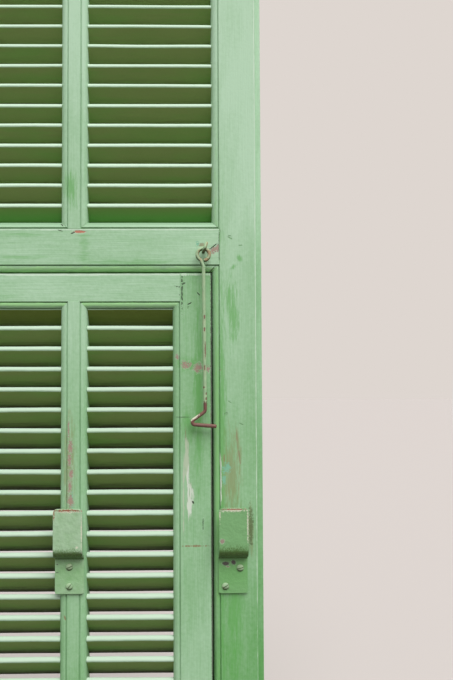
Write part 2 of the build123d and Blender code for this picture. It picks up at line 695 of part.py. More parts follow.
def screw_eye():
    """Ring standing out from the lock rail on a shank, turned off the vertical."""
    ring = Rot(0, 90, 0) * bar_ring(EYE_RING_RADIUS, EYE_WIRE_RADIUS)
    shank_length = EYE_NECK + EYE_WIRE_RADIUS + EYE_SHANK_BITE
    shank = extrude(bar_section(EYE_WIRE_RADIUS), amount=shank_length)
    shank = Pos(0, EYE_RING_RADIUS, 0) * Rot(-90, 0, 0) * shank
    return Pos(EYE_X, EYE_CENTRE_Y, EYE_Z) * Rot(0, EYE_TURN, 0) * (ring + shank)


def hook_corners():
    """Corners of the hook's rod below its ring, relative to the ring's centre."""
    neck_z = -sqrt(HOOK_RING_RADIUS**2 - HOOK_NECK_OFFSET**2)
    foot_z = -HOOK_LENGTH
    turn_x = HOOK_LEAN - HOOK_THROW
    turn_z = foot_z - HOOK_THROW_DROP
    return [
        (-HOOK_NECK_OFFSET, neck_z),
        (0.0, -HOOK_NECK_DROP),
        (HOOK_LEAN, foot_z),
        (turn_x, turn_z),
        (turn_x + HOOK_PRONG, turn_z - HOOK_PRONG_DROP),
    ]


def hook():
    """Closed ring, long rod, and a prong bent back across the rod's end."""
    corners = [(x, 0, z) for x, z in hook_corners()]
    radii = (HOOK_BEND_RADIUS, HOOK_BEND_RADIUS, HOOK_TURN_RADIUS)
    path = FilletPolyline(*corners, radius=radii)
    start = Plane(origin=path @ 0, z_dir=path % 0)
    rod = sweep(start * bar_section(HOOK_ROD_RADIUS), path=path)
    ring = Rot(90, 0, 0) * bar_ring(HOOK_RING_RADIUS, HOOK_ROD_RADIUS)
    return Pos(HOOK_PIVOT_X, EYE_CENTRE_Y, HOOK_RING_Z) * (ring + rod)


def build():
    """All nodes by name; a list is a group of like solids in one node."""
    nodes = {
        "hinge_stile": hinge_stile(),
        "meeting_stile": meeting_stile(),
        "top_rail": top_rail(),
        "lock_rail": lock_rail(),
        "bottom_rail": bottom_rail(),
        "upper_muntin": upper_muntin(),
    }
    for side in ("left", "right"):
        nodes[f"flap_{side}_stile"] = flap_stile(side)
    nodes["flap_top_rail"] = flap_top_rail()
    nodes["flap_bottom_rail"] = flap_bottom_rail()
    nodes["flap_muntin"] = flap_muntin()

    columns = {
        "upper_slats": (OPEN_X0, OPEN_X1, LOCK_Z1, TOP_Z0, UPPER_ROWS),
        "flap_slats": (FLAP_OPEN_X0, FLAP_OPEN_X1, FLAP_OPEN_Z0, FLAP_OPEN_Z1, FLAP_ROWS),
    }
    for name, (x0, x1, z0, z1, rows) in columns.items():
        nodes[f"{name}_left"] = slat_column(x0, MUNTIN_X0, z0, z1, rows)
        nodes[f"{name}_right"] = slat_column(MUNTIN_X1, x1, z0, z1, rows)

    for level, strap_z in STRAP_HEIGHTS.items():
        nodes[f"{level}_pintle"] = pintle(strap_z)
        nodes[f"{level}_strap_hinge"] = strap_hinge(strap_z)
    nodes["strap_nails"] = strap_nails()

    for side, centre_x in BUTT_CENTRES.items():
        nodes[f"{side}_butt_frame_leaf"] = butt_leaf(centre_x, True)
        nodes[f"{side}_butt_flap_leaf"] = butt_leaf(centre_x, False)
        nodes[f"{side}_butt_pin"] = butt_pin(centre_x)
    nodes["butt_frame_nails"] = butt_nails(True)
    nodes["butt_flap_nails"] = butt_nails(False)

    iron, heads = bracket_set(STILE_BRACKET_SCREWS, OPEN_X1 + STILE_BRACKET_INSET)
    nodes["stile_bracket"] = iron
    nodes["stile_bracket_screws"] = heads
    iron, heads = bracket_set(MUNTIN_BRACKET_SCREWS, MID_X + MUNTIN_BRACKET_SHIFT)
    nodes["muntin_bracket"] = iron
    nodes["muntin_bracket_screws"] = heads

    nodes["screw_eye"] = screw_eye()
    nodes["hook"] = hook()
    return nodes


def main():
    os.makedirs("parts", exist_ok=True)
    for name, shape in build().items():
        solids = shape if isinstance(shape, list) else [shape]
        group = Compound(children=[piece for item in solids for piece in item.solids()])
        export_step(group, f"parts/{name}.step")


main()
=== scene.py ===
from math import cos, pi, radians, sin, sqrt, tan

import bmesh
import bpy
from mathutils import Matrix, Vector, noise


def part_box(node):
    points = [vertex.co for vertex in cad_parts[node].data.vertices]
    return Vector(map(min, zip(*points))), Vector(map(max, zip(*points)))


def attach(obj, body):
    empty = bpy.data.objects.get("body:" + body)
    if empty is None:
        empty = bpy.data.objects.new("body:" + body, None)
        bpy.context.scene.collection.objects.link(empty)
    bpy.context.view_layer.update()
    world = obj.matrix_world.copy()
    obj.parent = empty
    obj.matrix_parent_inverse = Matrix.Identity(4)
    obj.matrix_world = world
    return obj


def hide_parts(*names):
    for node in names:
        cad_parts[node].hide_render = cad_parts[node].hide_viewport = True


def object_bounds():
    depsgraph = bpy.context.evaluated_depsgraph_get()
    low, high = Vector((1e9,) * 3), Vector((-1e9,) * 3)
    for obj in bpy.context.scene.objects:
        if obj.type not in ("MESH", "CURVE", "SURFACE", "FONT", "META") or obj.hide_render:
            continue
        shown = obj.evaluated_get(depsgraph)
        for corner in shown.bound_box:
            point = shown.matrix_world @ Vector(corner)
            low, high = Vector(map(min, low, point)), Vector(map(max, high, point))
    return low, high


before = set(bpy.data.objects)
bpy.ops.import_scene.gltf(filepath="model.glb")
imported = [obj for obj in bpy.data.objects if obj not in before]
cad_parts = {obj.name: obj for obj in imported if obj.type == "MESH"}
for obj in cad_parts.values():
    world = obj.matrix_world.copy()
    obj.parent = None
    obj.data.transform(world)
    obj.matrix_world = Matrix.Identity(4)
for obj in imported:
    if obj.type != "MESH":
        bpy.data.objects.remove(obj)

bl_info = {
    "name": "Louvred Shutter Finish",
    "version": (1, 0, 0),
    "blender": (4, 5, 0),
    "location": "View3D > Sidebar > Shutter",
    "description": "Paint, wear, rounded slats, forged hook and studio for a louvred shutter leaf",
    "category": "Object",
}

CAD_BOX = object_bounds()
MM = 0.001

# Sizes of patterns in the paint: a chip's ragged edge, a rub's streaks, clouds on iron, and
# soiled patches under the slats
CHIP_EDGE = 2.4 * MM
RUB_STREAK = 3.0 * MM
IRON_CLOUD = 11.0 * MM
SOILED_LENGTH = 200.0 * MM
SOILED_HEIGHT = 30.0 * MM
# How far from a corner soil and painted shade reach, on wood and on iron
WOOD_QUIRK = 4.0 * MM
IRON_QUIRK = 2.5 * MM
# Heights between which the weather's work grows, on the frame and on the slats' noses
FRAME_WEATHER_Z = (0.15, 1.25)
NOSE_WEATHER_Z = (0.65, 1.05)
# How far behind the face the painted shade on the slats' undersides starts and is darkest, and
# how far the brush marks shift that
UNDERSIDE_DARK = (27.0 * MM, 40.0 * MM)
DARK_SHIFT = 12.0 * MM
# How deep a mark reaches behind the face that it lies on
WOOD_MARK_REACH = 14.0 * MM
IRON_MARK_REACH = 90.0 * MM
# How far the brush drew the paint out along each axis, how strongly its strokes show, and how
# strongly patches of fresh paint do
BRUSHED = {
    "upright": ((1.0, 1.0, 0.035), 0.42, 0.7),
    "across": ((0.035, 1.0, 1.0), 0.62, 0.35),
}

# Slats: steps along each, rounding at the back, how far back from the nose the plane's
# unevenness reaches, and height of its ripples
SLAT_STEPS = 14
TAIL_ROUND = 1.2 * MM
NOSE_DEPTH = 12.0 * MM
RIPPLE = 0.22 * MM
# Waves per metre of the nose's drift and twist, and of the ripples along and across it
DRIFT_WAVES, TWIST_WAVES, RIPPLE_WAVES, CROSS_WAVES = 9, 6, 45, 160

# Round-headed screws
SCREW_RADIUS = 5.5 * MM
SCREW_HEIGHT = 3.0 * MM
SCREW_RIM = 0.6 * MM
SLOT_HALF_WIDTH = 0.6 * MM
SLOT_DEPTH = 1.4 * MM
SLOT_FLOOR = 0.4 * MM
SHANK_RADIUS = 2.2 * MM
SHANK_LENGTH = 24.0 * MM
SHANK_SIDES = 8
# Hammered rods of the hook and the eye: sides, dents per metre, and points of the prong, which
# is thicker
ROD_SIDES = 14
DENT_WAVES = 140
PRONG_POINTS = 28

# Parts of the frame by the way their grain and the brush run
UPRIGHTS = (
    "hinge_stile", "meeting_stile", "upper_muntin",
    "flap_left_stile", "flap_right_stile", "flap_muntin",
)
RAILS = ("top_rail", "lock_rail", "bottom_rail", "flap_top_rail", "flap_bottom_rail")
HINGE_IRON = (
    "lower_strap_hinge", "middle_strap_hinge", "upper_strap_hinge", "strap_nails",
    "left_butt_frame_leaf", "right_butt_frame_leaf", "butt_frame_nails",
    "left_butt_flap_leaf", "right_butt_flap_leaf", "butt_flap_nails",
)
BARE_IRON = (
    "lower_pintle", "middle_pintle", "upper_pintle", "left_butt_pin", "right_butt_pin",
)

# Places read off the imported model, in metres
FACE_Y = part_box("meeting_stile")[0].y
OUTER_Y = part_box("meeting_stile")[1].y
LOCK_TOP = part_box("lock_rail")[1].z
TOP_RAIL_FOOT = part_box("top_rail")[0].z
FLAP_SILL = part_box("flap_bottom_rail")[1].z
FLAP_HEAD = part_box("flap_top_rail")[0].z
# The hook: its axis, where its ring starts and ends in degrees, its bends in millimetres from
# the ring's centre, their radii, and the height under which it has lost its paint
HOOK_X = 529.93 * MM
HOOK_RING_TURN = (-78, 244)
HOOK_BENDS = ((0.3, -19.0), (2.2, -246.0), (-25.8, -265.5), (18.2, -269.0))
HOOK_BEND_RADII = (4 * MM, 7 * MM, 4.2 * MM)
HOOK_RUSTED_BELOW = 679 * MM
# The screw eye: its centre, how far it is turned, where its ring starts and ends in degrees, and
# how far its neck and shank reach into the rail behind the ring
EYE_CENTRE = Vector((532.5, -81.06, 921.0)) * MM
EYE_TURN = radians(20)
EYE_RING_TURN = (24, 346)
EYE_NECK = 3.0 * MM
EYE_SHANK = 37.5 * MM
# Front of the brackets' plates
PLATE_Y = FACE_Y - 4 * MM
# Screws in each bracket's plate: x and z in millimetres, turn of the slot in degrees
BRACKET_SCREWS = {
    "stile_bracket": ((586, 420.3, 15), (563, 392.3, 30)),
    "muntin_bracket": ((320, 423.3, 20), (320, 393.3, 50)),
}

# How chalked a member's paint is near the foot and near the top, from 0 (fresh) to 1, and how
# much soil and painted shade its quirks hold
WEATHER = {
    "meeting_stile": (0.03, 0.98, 0.2),
    "flap_right_stile": (0.74, 0.1, 0.12),
    "flap_muntin": (0.26, 1.05, 0.05),
    "upper_muntin": (0.05, 0.98, 0.1),
    "flap_left_stile": (0.52, 0.3, 0.3),
    "flap_bottom_rail": (0.5, 0.9, 0.6),
    "flap_top_rail": (0.22, 1.08, 0.95),
    "lock_rail": (0.05, 1.02, 0.55),
}
USUAL_WEATHER = (0.05, 0.98, 0.7)

# Marks on the paint by their kind: x, z, half width and half height in millimetres, and the turn
# in degrees of those that don't stand upright
RAIL_MARKS = {
    # Arrises: paint rubbed pale, which also stands for a painted highlight along them
    "arris": ((325, 952.4, 430, 1), (325, 880.4, 430, 1.5)),
    # Painted light on the lower beads, which the lamps leave in shade
    "lit_bead": ((325, 889, 430, 3.8), (325, 833, 430, 3.6)),
    "crack": (
        (323.3, 946.9, 4.1, 0.9, 20), (303.3, 950.7, 4.8, 0.6, -15),
        (306.1, 959.9, 2.9, 0.9, -45), (335.3, 956.9, 3.5, 1.1, 45),
        (546.9, 925.5, 8.2, 0.9, 38), (555.7, 926, 0.6, 27), (545.4, 889.6, 6, 0.7, 45),
    ),
    "primer": ((333, 949, 9.8, 2),),
    "wood": ((549.6, 920.8, 8.8, 4.6, 33),),
    "blue": ((521.6, 928.9, 3.2, 4.2),),
    "bare": ((527.8, 928, 5, 3),),
    "fresh": (
        (239.7, 944.6, 48.4, 3.6, -2), (236.7, 908.7, 45.2, 3), (341.1, 926.2, 6.8, 26.2),
        (420, 900, 70, 4), (180, 846, 60, 5),
    ),
    "joint": (
        (490.5, 861, 5.2, 1, -12), (493.5, 848.5, 3, 1.3, 10), (494, 836.5, 2.6, 1.4, -30),
    ),
}
UPRIGHT_MARKS = {
    # Arrises: paint rubbed pale, which also stands for a painted highlight along them
    "arris": ((613, 1000, 0.55, 800), (515, 880.4, 40, 1.5)),
    # The first two cracks run down both sides of the flap's side gap: painted shade that darkens
    # the gap
    "crack": (
        (541.9, 480, 0.7, 440), (545.1, 480, 0.5, 440), (522.8, 849.4, 3.2, 0.9, -50),
        (508.3, 834, 4, 0.9, 25), (497.6, 654.6, 12.7, 0.4), (512.8, 521, 1.3, 2.6, 20),
    ),
    "moss": ((550.6, 640, 3.8, 330),),
    "dent": (
        (573.6, 938.3, 4.8, 1.2, -30), (573, 942.3, 2.5, 0.9, -10), (589.6, 926.6, 3.8, 1, 5),
        (571.3, 678.2, 3.2, 1, -35), (565.7, 659.7, 2.9, 1.8, 20), (588.8, 643.5, 3.5, 1, -20),
        (506, 828, 2.4, 1.6, 60), (556.3, 948.4, 1.4, 4.8),
    ),
    "fresh": (
        (587.6, 906.3, 3.6, 5.4, 30), (578.4, 892.5, 6, 3.6, 40), (572, 846, 6.5, 32),
        (577.5, 818, 8, 48), (558.6, 560, 6.5, 330), (522, 690, 7, 120), (506, 640, 12, 20),
        (506, 738, 22, 9), (319.6, 1019.1, 9.5, 27, 6), (578.1, 369.4, 10.9, 130),
    ),
    "rub": (
        (573, 560, 13.5, 58), (584, 612, 4, 28, 6), (603.8, 478, 4.2, 30), (319, 580, 8, 66),
    ),
    "speck": ((604, 484, 3.6, 30),),
    "cream": ((556.6, 562, 1.3, 40), (508.2, 520, 5, 24, -5), (505.6, 545, 2.4, 26)),
    "bare": (
        (582.3, 617.6, 1.1, 10.5), (585.6, 596.9, 1.3, 14.7, 8), (501.6, 632.9, 0.8, 12.5),
        (541.5, 657.9, 1, 5.4), (556.3, 728.8, 1.9, 1.6),
    ),
    "rust": (
        (562.5, 590.3, 1.1, 7.7), (515.8, 453.4, 21, 1.1), (312.6, 343.6, 1.2, 4.2, 15),
    ),
    "blue": ((565.7, 574.6, 6, 8), (561.5, 556.6, 2.6, 8), (323.6, 525.9, 1.6, 18.4)),
    "joint": ((496.4, 852, 1.3, 24), (498.8, 866, 3, 1.4, 25), (528.6, 489, 0.9, 9)),
    "peel": ((503, 588, 3.6, 42, 2), (507.4, 525, 4.4, 27, -3), (498.4, 540, 1.3, 70)),
    "wood": (
        (489, 750, 2.6, 4), (502, 736.5, 7, 5.5), (521.5, 732.5, 6.4, 6.5),
        (537.5, 730.5, 3.4, 5.2), (317.6, 637, 1.3, 11), (320.4, 609, 3.4, 9),
        (318.8, 588, 2.4, 11), (321.4, 566, 2.8, 9), (319.6, 545, 2.4, 9), (320.8, 524, 4.2, 9),
    ),
}
STILE_BRACKET_MARKS = {
    # Painted shade under the bracket's bend
    "bend_shade": ((575, 446.5, 40, 11),),
    "moss": ((575, 412, 60, 30),),
    "cream": ((575, 513.8, 21.5, 3), (553.6, 506, 1.2, 12), (596.4, 490, 1.1, 27)),
    "rust": ((575, 514.9, 20, 1),),
    "wood": ((557, 466.2, 3.6, 3.4), (566.8, 422.3, 2.8, 1.2)),
    "crack": ((563.4, 426.9, 5.6, 3), (575.6, 428.6, 3.8, 3.4, -30)),
}
MUNTIN_BRACKET_MARKS = {
    # Painted shade under the bracket's bend
    "bend_shade": ((320, 445.5, 40, 9),),
    "moss": ((320, 412, 60, 30),),
    "cream": ((320, 512.4, 21, 1.6), (341.3, 482, 0.9, 30), (334, 458, 2.4, 1.6)),
    "rust": ((321, 514.4, 20.5, 2), (299.2, 508, 0.8, 8)),
    "crack": ((301.2, 427.4, 2.4, 0.5), (301.2, 414.6, 2.4, 0.5)),
}
HOOK_MARKS = {
    "tan": (
        (541, 914, 7, 8), (534, 903, 7, 3, -20), (525, 909, 2.4, 8, 15), (538, 926, 4, 7),
    ),
    "spot": (
        (531.4, 812, 1.5, 3), (531.4, 792, 1.2, 4), (532.4, 760, 1, 14), (531.6, 733, 1.1, 5),
        (530.2, 702, 1.5, 1.6), (534, 692, 1.5, 2.2), (534.2, 684, 1.7, 2.6),
    ),
    "cream": ((514.6, 654.2, 10, 1.9, 35),),
}


def linear(code):
    """Linear colour of an sRGB hex code such as #9cc39b."""
    parts = [int(code[i:i + 2], 16) / 255 for i in (1, 3, 5)]
    return tuple(p / 12.92 if p <= 0.04045 else ((p + 0.055) / 1.055) ** 2.4 for p in parts)


def tint(name, description, code):
    """A colour that a user may change."""
    return bpy.props.FloatVectorProperty(
        name=name, description=description, subtype="COLOR", size=3, min=0, max=1,
        default=linear(code),
    )


def length(name, description, millimetres):
    """A size that a user may change, kept in metres."""
    return bpy.props.FloatProperty(
        name=name, description=description, subtype="DISTANCE", unit="LENGTH", min=0,
        precision=5, default=millimetres * MM,
    )


def strength(name, description, value):
    """A strength of light that a user may change."""
    return bpy.props.FloatProperty(name=name, description=description, min=0, default=value)


class ShutterPaint(bpy.types.PropertyGroup):
    """Colours and relief of old oil paint on the wood."""

    chalked: tint("Chalked paint", "Paint that sun and rain have bleached", "#b9dbba")
    fresh: tint("Fresh paint", "The same paint where it kept its green", "#68a75f")
    # Paint facing down: unbleached green, darkened further as painted shade
    sheltered_and_shaded: tint("Sheltered paint", "Paint that the sky hardly reaches", "#83ad58")
    soiled_under: tint("Soiled underside", "Browner paint on parts of the undersides", "#8fa55f")
    # Painted shade at the back of the slats' undersides
    deep_shade: tint("Deep paint", "Paint at the back of the slats' undersides", "#32310c")
    bleached: tint("Bleached noses", "Paint on the slats' noses near the top", "#cbe2cb")
    soiled: tint("Soiled noses", "Paint on the slats' noses lower down", "#b9ceb9")
    # Painted light on the slats next to a rail: green bounce light over the lock rail, shade under
    # the flap's top rail
    rail_bounce_green: tint("Slat over the rail", "Green that the slat over the lock rail kept", "#6cb053")
    rail_shade_olive: tint("Slat under the rail", "Olive of the slat under the flap's rail", "#6c7a2e")
    # Rubbed pale paint that is also a painted highlight along the arrises
    arris: tint("Worn arris", "Paint rubbed thin and pale along an arris", "#dcefd9")
    primer: tint("Primer", "Old red primer in fresh chips", "#c07a62")
    wood: tint("Grey wood", "Weathered pine where the paint has peeled", "#aa8a7e")
    bare: tint("Brown wood", "Pine showing through rubbed paint", "#938a6a")
    peel: tint("Peeled paint", "Pale undercoat where the top coat has gone", "#bccbae")
    blue: tint("Older coat", "Blue-green paint of an earlier coat", "#80bf9f")
    crack: tint("Crack", "Dirt in a crack or open joint", "#2c3a22")
    # The green of soil and painted shade in quirks and corners
    quirk_soil_and_shade: tint("Soiled quirk", "Green dirt in quirks and corners", "#548f49")
    # Darker paint where it faces up: dust and painted shade
    dust_and_shade_facing_up: tint("Dusty top", "Paint soiled by dust where it faces up", "#84a883")
    dent: tint("Dent", "Shade and dirt in a dent", "#7fae7a")
    brush_mark: length("Brush mark", "Width of one bristle mark", 2.2)
    mottle: length("Mottle", "Size of a blotch in the chalked film", 5.0)
    fade_patch: length("Fade patch", "Size of a patch that has faded evenly", 70.0)
    brush_depth: length("Brush depth", "Height of the bristle marks", 0.24)
    film: length("Film", "Thickness of the many old coats of paint", 0.4)
    edge_round: length("Edge round", "Width of the rounding that the paint leaves on an edge", 1.3)


class ShutterIron(bpy.types.PropertyGroup):
    """Paint and rust on the ironwork."""

    bracket: tint("Bracket paint", "Green paint on the bar brackets", "#7aab72")
    bracket_pale: tint("Worn bracket paint", "Bracket paint that has chalked", "#98bc91")
    bracket_faded: tint("Faded bracket paint", "Paint on the muntin's bracket", "#adcba8")
    hook: tint("Hook paint", "Yellowed green paint on the hook and its eye", "#aec39a")
    hinge: tint("Hinge paint", "Green paint on the straps and butts", "#93b98f")
    # Painted shade on the iron where it faces down, under the brackets' bends
    sheltered_and_shaded: tint("Sheltered iron", "Paint under the brackets' bends", "#34491d")
    cream: tint("Worn edge", "Pale undercoat along the brackets' rubbed edges", "#dcdcc4")
    rust: tint("Rust", "Orange rust along worn edges", "#9c5238")
    tan: tint("Rubbed ring", "Thin paint over rust where the rings rub", "#a67a55")
    brown: tint("Brown iron", "Bare iron that has rusted brown", "#5d4038")
    purple: tint("Purple rust", "Older, harder rust on the bare iron", "#7d5448")
    black: tint("Bare iron", "Oiled wrought iron of the pintles and pins", "#4a423c")
    pit: length("Rust pit", "Size of a rust pit", 1.6)


class ShutterSlats(bpy.types.PropertyGroup):
    """Shape of the louvre slats."""

    pitch: length("Pitch", "Height from one slat to the next", 32.5)
    first_rise: length("First nose", "Height of the lowest nose above its rail", 26.0)
    thickness: length("Thickness", "Thickness of a slat", 9.5)
    reach: length("Reach", "Length of a slat's slope below its nose", 41.0)
    setback: length("Setback", "Distance from the frame's face to the noses", 6.0)
    nose_round: length("Nose round", "Radius of a nose's corners", 3.6)
    wander: length("Wander", "How far a hand-planed nose strays from straight", 0.55)
    slope: bpy.props.FloatProperty(
        name="Slope", description="Slope of the slats, down towards the outside",
        subtype="ANGLE", unit="ROTATION", default=radians(45),
    )


class ShutterHook(bpy.types.PropertyGroup):
    """Shape of the hook and its screw eye."""

    rod: length("Rod", "Radius of the hook's rod", 2.8)
    ring: length("Ring", "Radius of the hook's ring", 9.5)
    wire: length("Eye wire", "Radius of the screw eye's wire", 2.5)
    eye: length("Eye", "Radius of the screw eye", 7.5)
    forging: bpy.props.FloatProperty(
        name="Forging", description="How uneven the hammered rod is, as a share of its radius",
        subtype="FACTOR", min=0, max=0.3, default=0.07,
    )


class ShutterStudio(bpy.types.PropertyGroup):
    """Floor, light and camera."""

    floor: tint("Floor", "Pale floor as it is seen", "#b4ada9")
    floor_bounce: tint("Floor bounce", "How the floor lights the shutter", "#5a5653")
    backdrop: tint("Backdrop", "Pale background behind the floor", "#ded6d0")
    sky: strength("Sky", "Strength of the soft light from above", 0.62)
    ground: strength("Ground", "Strength of the soft light from below", 0.10)
    key: strength("Key light", "Strength of the broad light above the front", 3.0)
    rear: strength("Rear light", "Strength of the broad light behind", 1.2)
    camera_place: bpy.props.FloatVectorProperty(
        name="Camera place", description="Where the camera stands", subtype="TRANSLATION",
        unit="LENGTH", size=3, default=(0.48847, -1.16345, 0.73675),
    )
    camera_turn: bpy.props.FloatVectorProperty(
        name="Camera turn", description="Pitch above level, roll and turn of the camera",
        subtype="EULER", unit="ROTATION", size=3,
        default=(radians(90 + 2.07), radians(0.17), radians(-0.709)),
    )
    lens: bpy.props.FloatProperty(
        name="Lens", description="Focal length in millimetres", min=1, default=36.65,
    )
    shift: bpy.props.FloatProperty(
        name="Shift", description="Sideways shift of the camera's frame", default=0.060,
    )


def node(tree, kind, sockets=None, out=0, **settings):
    """Add a shader node with its settings and inputs, values or links, and give one output."""
    made = tree.nodes.new("ShaderNode" + kind)
    for name, value in settings.items():
        setattr(made, name, value)
    for name, value in (sockets or {}).items():
        socket = made.inputs[name]
        if isinstance(value, bpy.types.NodeSocket):
            tree.links.new(value, socket)
        elif socket.type == "RGBA":
            socket.default_value = (*value, 1.0)
        else:
            socket.default_value = value
    return made.outputs[out] if made.outputs else None


def new_material(name):
    """Empty node material and its tree."""
    material = bpy.data.materials.new(name)
    material.use_nodes = True
    material.node_tree.nodes.clear()
    return material, material.node_tree


def finish_surface(tree, base, height, rough, shading):
    """Close a material with its colour, fine relief, roughness and the rest of its shader."""
    bump = node(tree, "Bump", {"Strength": 1.0, "Distance": 1.0, "Height": height})
    shader = node(tree, "BsdfPrincipled", {
        "Base Color": base, "Roughness": rough, "Normal": bump, **shading})
    node(tree, "OutputMaterial", {"Surface": shader})


def tone_over(tree, base, tone, value, start, full, most=1.0):
    """Lay a tone over a colour, more and more as a value goes from start to full."""
    share = node(tree, "MapRange", {0: value, 1: start, 2: full, 4: most},
                 interpolation_type="SMOOTHSTEP")
    return node(tree, "Mix", {0: share, 6: base, 7: tone}, out=2, data_type="RGBA")


def marks_distance(tree, place, marks, face_y, reach):
    """Distance to the nearest of some marks, in which 1 is a mark's edge."""
    nearest = None
    for x, z, half_width, half_height, *turn in marks:
        inside = node(tree, "Mapping", {
            "Vector": place,
            "Location": (x * MM, face_y, z * MM),
            "Rotation": (0, -radians(turn[0]) if turn else 0, 0),
            "Scale": (half_width * MM, reach, half_height * MM),
        }, vector_type="TEXTURE")
        far = node(tree, "VectorMath", {0: inside}, out="Value", operation="LENGTH")
        if nearest:
            far = node(tree, "Math", {0: nearest, 1: far}, operation="MINIMUM")
        nearest = far
    return nearest


def marks_on(name, marks):
    """The marks that lie on one part of the frame, by their kind."""
    low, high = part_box(name)
    return {kind: [mark for mark in own
                   if low.x <= mark[0] * MM <= high.x and low.z <= mark[1] * MM <= high.z]
            for kind, own in marks.items()}


# How a mark ends: share of raggedness, and where it starts and is full
ENDINGS = {
    "torn": (1.9, 1.08, 0.82),
    "flaked": (4.4, 1.0, 0.72),
    "rubbed": (4.2, 1.05, 0.6),
    "soft": (3.6, 1.5, 0.15),
}


def wear_layers(tree, place, base, height, marks, where, looks, noises):
    """Lay each kind of mark over the paint's colour and height. Its look is a tone, a depth in
    millimetres, a strength, an ending and, where the paint round it has lifted, a rim's tone."""
    torn, streaky = noises
    for kind, (tone, depth, most, ending, *rim) in looks.items():
        if not marks.get(kind):
            continue
        far = marks_distance(tree, place, marks[kind], *where)
        ragged, start, full = ENDINGS[ending]
        edge = torn if ending in ("torn", "flaked") else streaky
        far = node(tree, "Math", {0: edge, 1: ragged, 2: far}, operation="MULTIPLY_ADD")
        if rim:
            base = tone_over(tree, base, rim[0], far, 1.45, 1.1, 0.4)
        mask = node(tree, "MapRange", {0: far, 1: start, 2: full, 4: most},
                    interpolation_type="SMOOTHSTEP")
        base = node(tree, "Mix", {0: mask, 6: base, 7: tone}, out=2, data_type="RGBA")
        if depth:
            height = node(tree, "Math", {0: mask, 1: -depth * MM, 2: height},
                          operation="MULTIPLY_ADD")
    return base, height


def dirt_and_painted_shade(tree, base, shallow, deep_shade, reach, most):
    """Soil quirks, joints and corners, where rain can't wash, and paint in them the shade that
    ambient occlusion finds, blackest in the deepest.
    """
    open_sky = node(tree, "AmbientOcclusion", {"Distance": reach}, out="AO", samples=8)
    for tone, start, full in ((shallow, 0.75, 0.45), (deep_shade, 0.48, 0.26)):
        base = tone_over(tree, base, tone, open_sky, start, full, most)
    return base


def brushed_film(tree, place, along, paint):
    """Bristle marks along the grain, blotches in the film, and how high both stand."""
    brushed = node(tree, "VectorMath", {0: place, 1: along}, operation="MULTIPLY")
    streak = node(tree, "TexNoise", {
        "Vector": brushed, "Scale": 1 / paint.brush_mark, "Detail": 3, "Roughness": 0.55})
    blotch = node(tree, "TexNoise", {
        "Vector": place, "Scale": 1 / paint.mottle, "Detail": 4, "Roughness": 0.6})
    height = node(tree, "Math", {0: streak, 1: paint.brush_depth}, operation="MULTIPLY")
    height = node(tree, "Math", {0: blotch, 1: 0.8 * paint.brush_depth, 2: height},
                  operation="MULTIPLY_ADD")
    return streak, blotch, height


